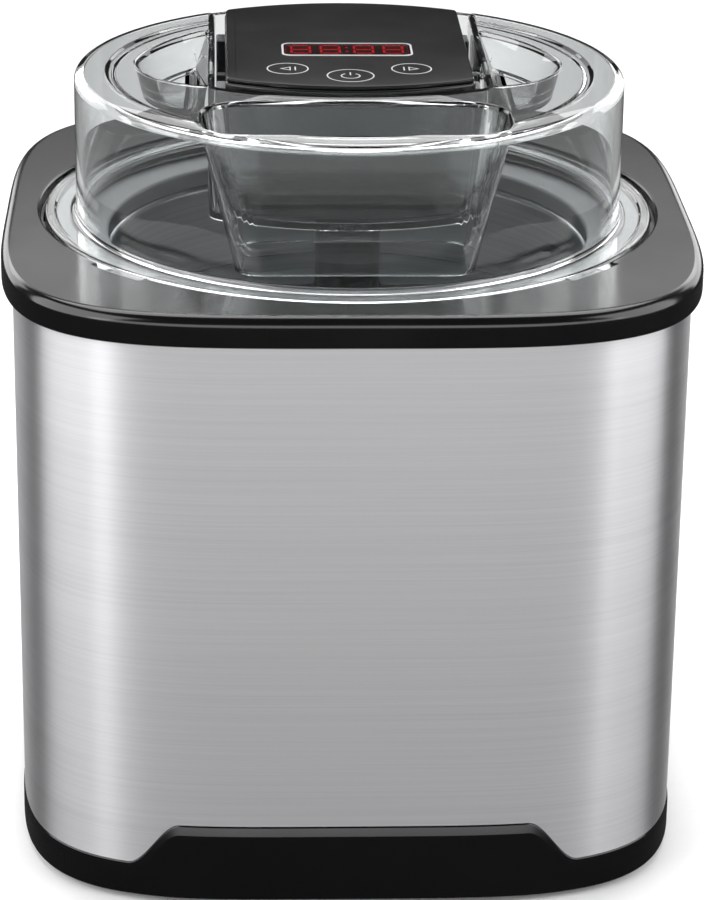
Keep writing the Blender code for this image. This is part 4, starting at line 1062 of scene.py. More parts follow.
    def make_bucket(self) -> None:
        """Grey inner well: rounded cup, stepped flange under the collar and screw posts."""
        lowest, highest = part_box("inner_bucket")
        floor, rim = 24.0 * MM, highest.z
        outer, bore = self.bucket_radius + self.bucket_wall, self.bucket_radius
        cup = rounded((Corner(0.0, floor), Corner(outer, floor, 5 * MM), Corner(outer, rim - 3 * MM)),
                      closed=False)
        well = rounded((Corner(bore, rim, 0.0), Corner(bore, floor + 3 * MM, 3.5 * MM),
                        Corner(0.0, floor + 3 * MM)), closed=False)
        flange = [self.plan.ring(-self.sheet - 0.3 * MM, z) for z in (rim - 3 * MM, rim)]
        rings = [self.plan.bore(max(r, 1 * MM), z) for r, z in cup] + flange
        rings += [self.plan.bore(bore + 0.6 * MM, rim)] + [self.plan.bore(max(r, 1 * MM),
                                                                          z - 0.4 * MM if i == 0 else z)
                                                         for i, (r, z) in enumerate(well)]
        rings = [[Vector((0.0, 0.0, floor))]] + rings + [[Vector((0.0, 0.0, floor + 3 * MM))]]
        bucket = skin("inner_bucket_finished", rings)
        for node in self.named("base_screw_"):
            spot = middle(node)
            post = turned("tool", (Corner(1.8 * MM, lowest.z), Corner(5 * MM, lowest.z, 0.5 * MM),
                                   Corner(5.6 * MM, floor + 1 * MM), Corner(1.8 * MM, floor + 1 * MM)), 32,
                          (spot.x, spot.y))
            fuse(bucket, post)
        self.dress(settle(bucket), "housing", Finish.GREY_PLASTIC, ["inner_bucket"])

    def named(self, start: str) -> list[str]:
        """Nodes of the frame whose names start alike."""
        return sorted(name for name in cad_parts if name.startswith(start))

    def make_underside(self) -> None:
        """Bottom plate with vents and ribs, ringed rubber feet and the screws."""
        lowest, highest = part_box("bottom_plate")
        grow = highest.x - self.plan.half[0]
        corners = rounded((Corner(grow - 6 * MM, lowest.z), Corner(grow, lowest.z, 1.0 * MM),
                           Corner(grow, highest.z, 0.4 * MM), Corner(grow - 6 * MM, highest.z)), closed=False)
        plate = skin("bottom_plate_finished", [self.plan.ring(g, z) for g, z in corners])
        thick = highest.z - lowest.z
        for node in self.named("base_screw_"):
            spot = middle(node)
            cut(plate, turned("tool", (Corner(0.0, lowest.z - MM), Corner(3.8 * MM, lowest.z - MM),
                                       Corner(2.1 * MM, highest.z - 0.6 * MM),
                                       Corner(2.1 * MM, highest.z + MM),
                                       Corner(0.0, highest.z + MM)), 32, (spot.x, spot.y)))
            self.dress(settle(self.shop.screw(node, 1.7 * MM), 40.0), "housing", Finish.SCREW_STEEL, [node])
        for side in (-1, 1):
            places = [Vector((side * 20 * MM + side * number * 5 * MM, 0.0, middle("bottom_plate").z))
                      for number in range(self.rib_count)]
            cut(plate, self.shop.bars.make("tool", places, {"Size": Vector((2.0 * MM, 42 * MM, 2 * thick)),
                                                            "Lean": Vector((0, 0, 0)),
                                                            "Material": Finish.MATT_BLACK.material()}))
        self.dress(settle(plate), "housing", Finish.MATT_BLACK, ["bottom_plate"])
        for node in self.named("collar_screw_"):
            self.dress(settle(self.shop.screw(node, 1.7 * MM), 40.0), "housing", Finish.SCREW_STEEL, [node])
        for node in self.named("foot_"):
            spot, top = middle(node), high(node)
            reach = top.x - spot.x
            foot = turned(node + "_finished",
                          (Corner(0.0, 0.6 * MM), Corner(reach - 3.4 * MM, 0.6 * MM, 0.3 * MM),
                           Corner(reach - 3.0 * MM, 0.0, 0.3 * MM), Corner(reach - 0.9 * MM, 0.0, 0.6 * MM),
                           Corner(reach, 1.2 * MM, 0.5 * MM), Corner(reach, top.z, 0.3 * MM),
                           Corner(0.0, top.z)),
                          48, (spot.x, spot.y))
            self.dress(settle(foot), "housing", Finish.RUBBER, [node])


# ---- freezer bowl --------------------------------------------------------------------
@dataclass
class FreezerBowl(Assembly):
    """Double-walled bowl that is frozen beforehand: shell, coolant, liner, gasket, rim and plug."""

    radius: float = 96.0 * MM
    wall: float = 2.0 * MM
    plug_hole: float = 7.0 * MM
    foot_radius: float = 75.0 * MM
    top_radius: float = 80.0 * MM
    liner_floor: float = 42.0 * MM
    liner_wall: float = 1.5 * MM
    pivot_radius: float = 3.0 * MM
    gap: float = 0.3 * MM

    def liner(self, z: float) -> float:
        """Inside radius of the liner at a height."""
        shell_top = high("bowl_outer_shell").z
        return self.foot_radius + (z - self.liner_floor) / (shell_top - self.liner_floor) * (
            self.top_radius - self.foot_radius)

    def build(self) -> None:
        """Make every piece of the bowl."""
        lowest, shell_top = low("bowl_outer_shell").z, high("bowl_outer_shell").z
        inner, floor = self.radius - self.wall, lowest + 2.5 * MM
        shell = turned("bowl_outer_shell_finished", (
            Corner(self.plug_hole, lowest, 0.4 * MM), Corner(60 * MM, lowest),
            Corner(61 * MM, lowest + 0.7 * MM),
            Corner(66 * MM, lowest + 0.7 * MM), Corner(67 * MM, lowest), Corner(self.radius, lowest, 7 * MM),
            Corner(self.radius, shell_top, 0.3 * MM), Corner(inner, shell_top, 0.3 * MM),
            Corner(inner, floor, 5 * MM), Corner(self.plug_hole, floor, 0.3 * MM)))
        self.dress(settle(shell), "bowl", Finish.WHITE_PLASTIC, ["bowl_outer_shell"])
        plug = turned("filler_plug_finished", (
            Corner(0.0, low("filler_plug").z + 0.6 * MM),
            Corner(3.4 * MM, low("filler_plug").z + 0.6 * MM, 0.3 * MM),
            Corner(4.0 * MM, low("filler_plug").z, 0.3 * MM),
            Corner(high("filler_plug").x, low("filler_plug").z, 0.5 * MM),
            Corner(high("filler_plug").x, high("filler_plug").z, 0.3 * MM),
            Corner(0.0, high("filler_plug").z)), 48)
        self.dress(settle(plug), "bowl", Finish.RUBBER, ["filler_plug"])
        self.make_liner()
        self.make_coolant(inner, floor)
        self.make_rim()

    def make_liner(self) -> None:
        """Turned aluminium liner with a deep floor round, a pivot pin and a rolled flange."""
        flange_low, flange_top = high("bowl_liner").z - self.liner_wall, high("bowl_liner").z
        floor, wall, foot = self.liner_floor, self.liner_wall, self.liner(self.liner_floor)
        pin_top = low("mixing_paddle").z + 3.0 * MM
        corners = (Corner(0.0, floor - wall), Corner(foot + wall, floor - wall, 6.5 * MM),
                   Corner(self.top_radius + wall, flange_low, 0.8 * MM),
                   Corner(self.radius, flange_low, 0.2 * MM),
                   Corner(self.radius, flange_top, 0.2 * MM), Corner(self.top_radius, flange_top, 2.0 * MM),
                   Corner(foot, floor, 5.0 * MM), Corner(self.pivot_radius, floor, 1.5 * MM),
                   Corner(self.pivot_radius, pin_top, 1.2 * MM), Corner(0.0, pin_top))
        self.dress(settle(turned("bowl_liner_finished", corners)), "bowl", Finish.ALUMINIUM, ["bowl_liner"])

    def make_coolant(self, inner: float, floor: float) -> None:
        """Frozen coolant between the walls, filled to a level line."""
        top, wet = high("coolant_fill").z, self.liner_wall + self.gap
        foot = self.liner(self.liner_floor)
        corners = (Corner(0.0, floor + self.gap), Corner(inner - self.gap, floor + self.gap, 5.2 * MM),
                   Corner(inner - self.gap, top, 0.5 * MM), Corner(self.liner(top) + wet, top, 0.5 * MM),
                   Corner(foot + wet, self.liner_floor - wet, 6.8 * MM), Corner(0.0, self.liner_floor - wet))
        self.dress(settle(turned("coolant_fill_finished", corners, 128)), "bowl", Finish.COOLANT,
                   ["coolant_fill"])

    def make_rim(self) -> None:
        """Grey snap-on rim with two locating lugs, over a silicone gasket."""
        ring_low, ring_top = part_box("bowl_gasket")
        groove = (self.top_radius + 4 * MM, self.radius - 2 * MM)
        span = (groove[0] + self.gap, groove[1] - self.gap)
        ribs = [Corner(span[1], ring_low.z, 0.3 * MM), Corner(span[1], ring_top.z, 0.3 * MM)]
        for number in range(3):
            middle_r = span[1] + (span[0] - span[1]) * (number + 0.5) / 3
            ribs += [Corner(middle_r + 0.9 * MM, ring_top.z - 0.5 * MM, 0.2 * MM),
                     Corner(middle_r - 0.9 * MM, ring_top.z - 0.5 * MM, 0.2 * MM)] if number % 2 else []
        ribs += [Corner(span[0], ring_top.z, 0.3 * MM), Corner(span[0], ring_low.z, 0.3 * MM)]
        self.dress(settle(turned("bowl_gasket_finished", ribs)), "bowl", Finish.SILICONE, ["bowl_gasket"])
        lowest, highest = low("bowl_rim").z, high("bowl_rim").z
        outer, lip = 99.8 * MM, self.top_radius + 0.8 * MM
        seat = low("bowl_gasket").z
        corners = (Corner(outer, lowest, 0.5 * MM), Corner(outer, highest, 1.3 * MM),
                   Corner(lip, highest, 1.3 * MM), Corner(lip, seat), Corner(groove[0], seat),
                   Corner(groove[0], seat + 1.8 * MM), Corner(groove[1], seat + 1.8 * MM),
                   Corner(groove[1], seat),
                   Corner(self.radius + self.gap, seat), Corner(self.radius + self.gap, lowest, 0.3 * MM))
        rim = turned("bowl_rim_finished", corners)
        for bearing in (0.0, 180.0):
            fuse(rim, arc_block("tool", (bearing - 3.5, bearing + 3.5), (outer - MM, outer + 2.2 * MM),
                                (195.2 * MM, highest - 1.5 * MM), 0.4 * MM))
        self.dress(settle(rim), "bowl", Finish.GREY_PLASTIC, ["bowl_rim"])


# ---- clear lid -----------------------------------------------------------------------
@dataclass
class ClearLid(Assembly):
    """One clear moulding with a motor bay, two finger recesses and a feed funnel, and its gasket."""

    wall: float = 2.2 * MM
    flange: Point = (201.3 * MM, 204.6 * MM)
    flange_radius: float = 102.0 * MM
    drum_radius: float = 91.5 * MM
    crest_inner: float = 80.0 * MM
    crest_drop: float = 0.8 * MM
    bay_half: float = 44.8 * MM
    bay_rear: float = 89.4 * MM
    bay_front: float = -31.4 * MM
    bay_floor: float = 208.0 * MM
    bow: float = 89.0 * MM
    grip_radius: float = 73.0 * MM
    grip_inner: float = 47.0 * MM
    grip_floor: float = 239.0 * MM
    grip_taper: float = 5.0 * MM
    lip: float = 1.1 * MM
    lug: Point = (-49.5, -40.5)
    window_y: Point = (-1.5 * MM, 14.5 * MM)

    def build(self) -> None:
        """Cut the moulding from a turned drum and add the gasket."""
        top = high("clear_lid").z
        lid = turned("clear_lid_finished", self.drum(top), 256)
        inside = cut(self.hollow(top), self.bay(self.wall, top),
                     *(self.grip(side, self.wall, top) for side in (-1, 1)),
                     self.funnel(self.wall, top))
        cut(lid, inside, self.bay(0.0, top), *(self.grip(side, 0.0, top) for side in (-1, 1)),
            self.funnel(0.0, top), self.shaft_hole())
        for side in (-1, 1):
            near, far = sorted((side * (self.bay_half - MM), side * (self.grip_inner + MM)))
            cut(lid, boxed("tool", Vector((near, self.window_y[0], self.grip_floor + MM)),
                           Vector((far, self.window_y[1], top - 3 * MM)), 0.8 * MM))
        cut(lid, boxed("tool", Vector((-10 * MM, self.bay_rear - 6 * MM, 232 * MM)),
                       Vector((10 * MM, self.drum_radius + 5 * MM, 247 * MM)), 2.0 * MM))
        for span in (self.lug, mirrored(self.lug)):
            fuse(lid, arc_block("tool", span, (self.flange_radius - 3 * MM, self.flange_radius + 4.4 * MM),
                                (self.flange[0] + 0.2 * MM, self.flange[1] - 0.4 * MM), 0.4 * MM))
        self.dress(settle(lid, 26.0), "lid", Finish.CLEAR_PLASTIC, ["clear_lid"])
        seal_low, seal_top = low("lid_gasket").z, high("lid_gasket").z
        seal = turned("lid_gasket_finished", (
            Corner(99 * MM, seal_low + 0.9 * MM, 0.4 * MM), Corner(99 * MM, seal_top, 0.5 * MM),
            Corner(93 * MM, seal_top, 0.5 * MM), Corner(93 * MM, seal_low + 0.9 * MM, 0.4 * MM),
            Corner(95 * MM, seal_low, 0.4 * MM), Corner(97 * MM, seal_low, 0.4 * MM)))
        self.dress(settle(seal), "lid", Finish.SILICONE, ["lid_gasket"])

    def drum(self, top: float) -> tuple[Corner, ...]:
        """Outside section: beaded flange, concave foot, rounded crest and a slightly sunk middle."""
        low_z, high_z = self.flange
        sunk, flat = top - self.crest_drop, high_z - 0.8 * MM
        return (Corner(0.0, low_z), Corner(self.flange_radius, low_z, 0.8 * MM),
                Corner(self.flange_radius, high_z, 1.0 * MM),
                Corner(self.flange_radius - 3.2 * MM, high_z, 0.5 * MM),
                Corner(self.flange_radius - 3.9 * MM, flat, 0.5 * MM),
                Corner(self.drum_radius, flat, 2.2 * MM),
                Corner(self.drum_radius, top, 2.8 * MM), Corner(self.crest_inner + 1.2 * MM, top, 1.0 * MM),
                Corner(self.crest_inner, sunk, 1.0 * MM), Corner(0.0, sunk))

    def hollow(self, top: float) -> bpy.types.Object:
        """Solid of the space under the drum."""
        inner, under = self.drum_radius - self.wall, top - self.wall
        corners = (Corner(0.0, self.flange[0] - MM), Corner(inner, self.flange[0] - MM),
                   Corner(inner, under, 1.4 * MM), Corner(self.crest_inner - 1.0 * MM, under, 1.0 * MM),
                   Corner(self.crest_inner - 2.2 * MM, under - self.crest_drop, 1.0 * MM),
                   Corner(0.0, under - self.crest_drop))
        return turned("tool", corners, 256)

    def pocket(self, plan: Outline, floor: float, grow: float, top: float, taper: float, ease: float,
               level: float) -> bpy.types.Object:
        """Solid of a recess, its floor edge eased and its upper edge flared into a lip.

        Args:
            plan: the recess at the drum's top.
            floor: height of its floor.
            grow: growth of the whole solid, for the outside of its walls.
            top: height of the drum's top.
            taper: how much narrower each side is at the floor.
            ease: radius of the floor's edge.
            level: height of the surface that its lip runs into.

        Returns:
            The closed tool.
        """
        foot = floor - grow
        corners = [Corner(grow - taper - ease - 0.5 * MM, foot), Corner(grow - taper, foot, ease + grow)]
        if grow > 0.0:
            corners.append(Corner(grow, top + 6 * MM))
        else:
            corners += [Corner(0.0, level, self.lip), Corner(self.lip * 2, level + 0.02 * MM),
                        Corner(self.lip * 2 + 0.1 * MM, top + 6 * MM)]
        return moulded("tool", plan, corners)

    def bay(self, grow: float, top: float) -> bpy.types.Object:
        """Solid of the motor bay."""
        plan = motor_plan(self.bay_half, self.bay_rear, self.bay_front, self.bow, 4.0 * MM)
        return self.pocket(plan, self.bay_floor, grow, top, 0.0, 1.5 * MM, top - self.crest_drop)

    def grip(self, side: int, grow: float, top: float) -> bpy.types.Object:
        """Solid of one finger recess beside the motor bay."""
        first, last = math.acos(self.grip_inner / self.grip_radius), math.radians(12.0)
        outline = arc((0.0, 0.0), self.grip_radius, last, first, 20)
        start, end = outline[0], (self.grip_inner, -18.0 * MM)
        pulls = ((end[0] + 18 * MM, end[1] + 3.5 * MM), (start[0] + 2 * MM, start[1] - 11 * MM))
        for step in range(1, 16):
            t = step / 16
            shares = ((1 - t) ** 3, 3 * t * (1 - t) ** 2, 3 * t * t * (1 - t), t ** 3)
            outline.insert(step - 1, tuple(sum(s * p[axis] for s, p in zip(shares, (end, *pulls, start)))
                                           for axis in (0, 1)))
        outline.insert(0, end)
        plan = soften(outline, 3.5 * MM)
        if side < 0:
            plan = [(-x, y) for x, y in reversed(plan)]
        return self.pocket(plan, self.grip_floor, grow, top, self.grip_taper, 2.5 * MM, top - self.crest_drop)

    def funnel(self, grow: float, top: float) -> bpy.types.Object:
        """Solid of the feed funnel, wide at the drum's top and narrow over the bowl."""
        foot, level = 203.4 * MM - (0.0 if grow else MM), top - self.crest_drop
        rings = []
        corners = [Corner(grow, foot), Corner(grow, top + 6 * MM)] if grow else [
            Corner(0.0, foot), Corner(0.0, level, self.lip), Corner(2.2 * MM, level + 0.02 * MM),
            Corner(2.3 * MM, top + 6 * MM)]
        for growth, z in rounded(corners, closed=False):
            share = min(1.0, (z - foot) / (level - foot))
            plan = rectangle(-(36 + 13 * share) * MM, (36 + 13 * share) * MM, -(70 + 6.4 * share) * MM,
                             -(37.6 - 0.6 * share) * MM, (6 + 8 * share) * MM)
            rings.append(at_height(offset(plan, growth), z))
        return skin("tool", rings)

    def shaft_hole(self) -> bpy.types.Object:
        """Solid of the hole that the output shaft passes."""
        return turned("tool", (Corner(0.0, 190 * MM), Corner(9.5 * MM, 190 * MM),
                               Corner(9.5 * MM, self.bay_floor + MM), Corner(0.0, self.bay_floor + MM)), 64)


# ---- motor unit ----------------------------------------------------------------------
@dataclass
class MotorUnit(Assembly):
    """Case, glossy cover, touch panel, display, electronics, motor and release buttons."""

    shop: Workshop
    bow: float = 89.0 * MM
    panel_half: float = 41.3 * MM
    panel_rear: float = 88.4 * MM
    panel_front: float = -24.9 * MM
    case_half: float = 39.6 * MM
    case_rear: float = 85.5 * MM
    case_front: float = -29.0 * MM
    wall: float = 2.0 * MM
    skin: float = 1.6 * MM
    ribs: tuple[Point, ...] = ((-13 * MM, -1 * MM), (15 * MM, 19 * MM), (60 * MM, 70 * MM))
    rib_reach: float = 44.3 * MM
    button_y: float = 6.5 * MM
    post_radius: float = 5.4 * MM
    icon_line: float = 0.45 * MM
    keys: tuple[tuple[float, float, float], ...] = ((-20.6 * MM, -2.2 * MM, 7.0 * MM),
                                                    (0.0, -11.0 * MM, 7.9 * MM),
                                                    (20.6 * MM, -2.2 * MM, 6.8 * MM))

    def build(self) -> None:
        """Make every piece of the motor unit."""
        self.make_case()
        self.make_cover()
        self.make_panel()
        self.make_display()
        self.make_icons()
        self.make_board()
        self.make_drive()
        self.make_buttons()

    def outline(self, half: float, rear: float, front: float) -> Outline:
        """The motor unit's plan at one size."""
        return motor_plan(half, rear, front, self.bow, 2.6 * MM)

    def screw_places(self) -> list[Vector]:
        """Places of the case screws."""
        return [middle(name) for name in sorted(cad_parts) if name.startswith("case_screw_")]

    def make_case(self) -> None:
        """Grained lower case with guide ribs, screw bosses, an air grille and a jack opening."""
        foot, top = low("motor_lower_case").z, high("motor_lower_case").z
        plan = self.outline(self.case_half, self.case_rear, self.case_front)
        case = moulded("motor_lower_case_finished", plan, (
            Corner(-3 * MM, foot), Corner(0.0, foot, 1.2 * MM), Corner(0.0, top, 0.2 * MM),
            Corner(-1.0 * MM, top)))
        cut(case, moulded("tool", offset(plan, -self.wall), (
            Corner(-2 * MM, foot + self.wall), Corner(0.0, foot + self.wall, 0.6 * MM),
            Corner(0.0, top + MM))),
            turned("tool", (Corner(0.0, foot - MM), Corner(9 * MM, foot - MM), Corner(9 * MM, foot + 4 * MM),
                            Corner(0.0, foot + 4 * MM)), 64))
        for side in (-1, 1):
            for near, far in self.ribs:
                xs = sorted((side * (self.case_half - MM), side * self.rib_reach))
                fuse(case, boxed("tool", Vector((xs[0], near, foot + 4 * MM)),
                                 Vector((xs[1], far, top - MM)), 0.9 * MM))
            xs = sorted((side * (self.case_half - 4 * MM), side * (self.case_half + MM)))
            cut(case, boxed("tool", Vector((xs[0], self.button_y - 5.3 * MM, 236.2 * MM)),
                            Vector((xs[1], self.button_y + 5.3 * MM, 244.8 * MM)), 0.5 * MM))
        jack_low, jack_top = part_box("power_jack")
        cut(case, boxed("tool",
                        Vector((jack_low.x - 0.3 * MM, self.case_rear - 5 * MM, jack_low.z - 0.3 * MM)),
                        Vector((jack_top.x + 0.3 * MM, self.case_rear + MM, jack_top.z + 0.3 * MM)),
                        0.5 * MM))
        for place in self.screw_places():
            spot = (place.x, place.y)
            fuse(case, turned("tool", (Corner(0.0, foot + MM), Corner(self.post_radius, foot + MM),
                                       Corner(self.post_radius, top - 0.2 * MM, 0.4 * MM),
                                       Corner(0.0, top - 0.2 * MM)), 40, spot))
            cut(case, turned("tool", (Corner(0.0, foot - MM), Corner(3.7 * MM, foot - MM),
                                      Corner(3.7 * MM, foot + 2.4 * MM), Corner(2.1 * MM, foot + 2.4 * MM),
                                      Corner(2.1 * MM, top + MM), Corner(0.0, top + MM)), 40, spot))
        vents = [Vector((column * 4.0 * MM, 66 * MM, foot + 1 * MM)) for column in range(-4, 5)]
        cut(case, self.shop.bars.make("tool", vents, {"Size": Vector((1.6 * MM, 22 * MM, 6 * MM)),
                                                      "Lean": Vector((0, 0, 0)),
                                                      "Material": Finish.MATT_BLACK.material()}))
        self.dress(settle(case), "motor_unit", Finish.MATT_BLACK, ["motor_lower_case"])

    def make_cover(self) -> None:
        """Glossy cover with a front lip, a recess for the display and bosses for the screws."""
        foot, top = low("motor_top_cover").z, high("motor_top_cover").z
        plan = self.outline(self.panel_half, self.panel_rear, self.panel_front)
        cover = moulded("motor_top_cover_finished", plan, (
            Corner(-1.0 * MM, foot), Corner(0.0, foot, 0.4 * MM), Corner(0.0, top, 0.9 * MM),
            Corner(-4 * MM, top)))
        hollow = self.outline(self.case_half - self.wall, self.case_rear - self.wall,
                              self.panel_front + 2 * MM)
        cut(cover, moulded("tool", hollow, (Corner(0.0, foot - MM), Corner(0.0, top - self.skin, 0.8 * MM),
                                            Corner(-2 * MM, top - self.skin))))
        lip = self.outline(self.case_half, 60 * MM, self.case_front)
        shelf = moulded("tool", lip,
                        (Corner(-0.6 * MM, foot + 0.01 * MM), Corner(0.0, foot + 0.01 * MM, 0.2 * MM),
                                      Corner(0.0, foot + 1.6 * MM, 0.4 * MM),
                                      Corner(-1.2 * MM, foot + 1.6 * MM)))
        cut(shelf, boxed("tool", Vector((-60 * MM, 2 * MM, foot - MM)), Vector((60 * MM, 90 * MM, top)),
                         0.4 * MM),
            moulded("tool", hollow, (Corner(0.0, foot - 2 * MM), Corner(0.0, top))))
        fuse(cover, shelf)
        for place in self.screw_places():
            spot = (place.x, place.y)
            fuse(cover, turned("tool", (Corner(0.0, foot), Corner(3.6 * MM, foot, 0.3 * MM),
                                        Corner(3.6 * MM, top - MM), Corner(0.0, top - MM)), 32, spot))
            cut(cover, turned("tool", (Corner(0.0, foot - MM), Corner(2.1 * MM, foot - MM),
                                       Corner(2.1 * MM, top - 1.2 * MM), Corner(0.0, top - 1.2 * MM)), 32,
                              spot))
        window_low, window_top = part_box("display_window")
        cut(cover, boxed("tool", Vector((window_low.x + MM, window_low.y + MM, foot)),
                         Vector((window_top.x - MM, window_top.y - MM, top + MM)), 1.0 * MM))
        self.dress(settle(cover), "motor_unit", Finish.GLOSS_BLACK, ["motor_top_cover"])

    def make_panel(self) -> None:
        """Glossy touch panel with a rounded edge and a raised bezel round its display window."""
        lowest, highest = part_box("control_panel")
        inset = 0.5 * MM
        plan = self.outline(self.panel_half - inset, self.panel_rear - inset, self.panel_front + inset)
        panel = moulded("control_panel_finished", plan, (
            Corner(-1 * MM, lowest.z), Corner(0.0, lowest.z, 0.2 * MM), Corner(0.0, highest.z, 0.8 * MM),
            Corner(-3 * MM, highest.z)))
        window_low, window_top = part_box("display_window")
        frame_plan = rectangle(window_low.x - 0.3 * MM, window_top.x + 0.3 * MM, window_low.y - 0.3 * MM,
                               window_top.y + 0.3 * MM, 2.0 * MM)
        cut(panel, moulded("tool", frame_plan, (Corner(0.0, lowest.z - MM), Corner(0.0, highest.z + MM))))
        self.dress(settle(panel), "motor_unit", Finish.PANEL_BLACK, ["control_panel"])
        window = moulded("display_window_finished", rectangle(window_low.x, window_top.x, window_low.y,
                                                              window_top.y, 1.7 * MM),
                         (Corner(-1 * MM, window_low.z), Corner(0.0, window_low.z, 0.1 * MM),
                          Corner(0.0, window_top.z - 0.1 * MM, 0.3 * MM),
                          Corner(-1.5 * MM, window_top.z - 0.1 * MM)))
        self.dress(settle(window), "motor_unit", Finish.DISPLAY_WINDOW, ["display_window"])
        bezel = moulded("display_bezel", offset(frame_plan, 0.9 * MM), (
            Corner(-0.4 * MM, highest.z - 0.2 * MM), Corner(0.0, highest.z - 0.2 * MM),
            Corner(0.0, highest.z + 0.2 * MM, 0.15 * MM), Corner(-1.0 * MM, highest.z + 0.2 * MM)))
        cut(bezel, moulded("tool", frame_plan,
                           (Corner(0.25 * MM, lowest.z), Corner(0.25 * MM, highest.z + MM))))
        self.dress(settle(bezel), "motor_unit", Finish.PRINT)

    def make_display(self) -> None:
        """Four seven-segment digits and a colon on the display block."""
        lowest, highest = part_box("led_display")
        block = boxed("led_display_finished", lowest, highest, 0.5 * MM)
        self.dress(settle(block), "motor_unit", Finish.LED_DISPLAY, ["led_display"])
        window_low, window_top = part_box("display_window")
        span = window_top - window_low
        centre = (window_low + window_top) / 2 + Vector((0.0, 0.05 * span.y, 0.0))
        height, width, film = 0.35 * span.y, 0.15 * span.x, 0.2 * MM
        level = window_top.z - 0.3 * MM
        digits = [centre.x + span.x * share for share in (-0.375, -0.135, 0.135, 0.375)]
        flat = [Vector((x, centre.y + rise * height, level)) for x in digits for rise in (-1, 0, 1)]
        upright = [Vector((x + side * width / 2, centre.y + rise * height / 2, level))
                   for x in digits for side in (-1, 1) for rise in (-1, 1)]
        dots = [Vector((centre.x, centre.y + rise * height / 2, level)) for rise in (-1, 1)]
        sizes = ((flat, (width - 1.2 * MM, 0.8 * MM)), (upright, (0.8 * MM, height - 1.1 * MM)),
                 (dots, (0.9 * MM, 0.9 * MM)))
        for number, (places, (x, y)) in enumerate(sizes):
            bars = self.shop.bars.make(f"led_segments_{number + 1}", places, {
                "Size": Vector((x, y, film)), "Lean": Vector((0, 0, 0)),
                "Material": Finish.LED_SEGMENTS.material()})
            self.dress(bars, "motor_unit", Finish.LED_SEGMENTS)

    def make_icons(self) -> None:
        """Printed rings and signs of the three touch keys, a hair above the panel."""
        level = high("control_panel").z
        line = self.icon_line
        for number, (x, y, radius) in enumerate(self.keys, start=1):
            ring = turned(f"key_ring_{number}", (
                Corner(radius, level), Corner(radius, level + 0.04 * MM),
                Corner(radius - line, level + 0.04 * MM),
                Corner(radius - line, level)), 96, (x, y))
            self.dress(settle(ring), "motor_unit", Finish.PRINT)
            signs = self.power_sign(x, y) if number == 2 else self.step_sign(x, y, number - 2)
            for index, sign in enumerate(signs, start=1):
                sign.name = f"key_sign_{number}_{index}"
                self.dress(settle(sign), "motor_unit", Finish.PRINT)

    def printed(self, outline: Outline) -> bpy.types.Object:
        """A printed patch of one outline on the panel."""
        level = high("control_panel").z
        return skin("key_sign", [at_height(outline, level), at_height(outline, level + 0.04 * MM)])

    def power_sign(self, x: float, y: float) -> list[bpy.types.Object]:
        """An open ring with an upright bar through its gap."""
        radius, line, gap = 3.3 * MM, self.icon_line, 0.6
        outer = arc((x, y - 0.3 * MM), radius, math.pi / 2 + gap, TURN + math.pi / 2 - gap, 40)
        inner = arc((x, y - 0.3 * MM), radius - line, TURN + math.pi / 2 - gap, math.pi / 2 + gap, 40)
        bar = rectangle(x - line / 2, x + line / 2, y + 0.6 * MM, y + 4.0 * MM, 0.15 * MM)
        return [self.printed(outer + inner), self.printed(bar)]

    def step_sign(self, x: float, y: float, side: int) -> list[bpy.types.Object]:
        """A hollow triangle pointing outwards with a bar at its foot."""
        line, back, tip, rise = self.icon_line, -1.0 * MM, 2.6 * MM, 2.2 * MM
        outer = [(x + side * back, y - rise), (x + side * tip, y), (x + side * back, y + rise)]
        centre = ((outer[0][0] + outer[1][0] + outer[2][0]) / 3, y)
        keep = 1.0 - 2.6 * line / (tip - back)
        inner = [(centre[0] + keep * (px - centre[0]), centre[1] + keep * (py - centre[1])) for px,
                 py in outer]
        edges = [self.printed([outer[i], outer[(i + 1) % 3], inner[(i + 1) % 3], inner[i]]) for i in range(3)]
        foot = x + side * (back - 1.5 * MM)
        return edges + [self.printed(rectangle(foot - line / 2, foot + line / 2, y - rise, y + rise,
                                               0.12 * MM))]

    def make_board(self) -> None:
        """Circuit board with rounded corners, its components and the keys' contact springs."""
        lowest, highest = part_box("control_board")
        board = boxed("control_board_finished", lowest, highest, 1.2 * MM)
        self.dress(settle(board), "motor_unit", Finish.CIRCUIT_BOARD, ["control_board"])
        chips = self.shop.components.make("board_components",
                                          [Vector((0.0, 34 * MM, highest.z + 0.45 * MM))], {
            "Width": 40 * MM, "Depth": 5 * MM, "Columns": 9, "Rows": 2,
            "Size": Vector((1.8 * MM, 1.0 * MM, 0.7 * MM)),
            "Seed": 4, "Material": Finish.MATT_BLACK.material()})
        self.dress(chips, "motor_unit", Finish.MATT_BLACK)
        for place in ("left", "centre", "right"):
            node = f"touch_spring_{place}"
            foot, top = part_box(node)
            spring = self.shop.springs.make(node + "_finished",
                                            [Vector((middle(node).x, middle(node).y, foot.z + 0.3 * MM))], {
                "Radius": (top.x - foot.x) / 2 - 0.3 * MM, "Length": top.z - foot.z - 0.6 * MM, "Turns": 4.0,
                "Wire": 0.25 * MM, "Lean": Vector((0, 0, 0)), "Material": Finish.BRASS.material()})
            self.dress(spring, "motor_unit", Finish.BRASS, [node])

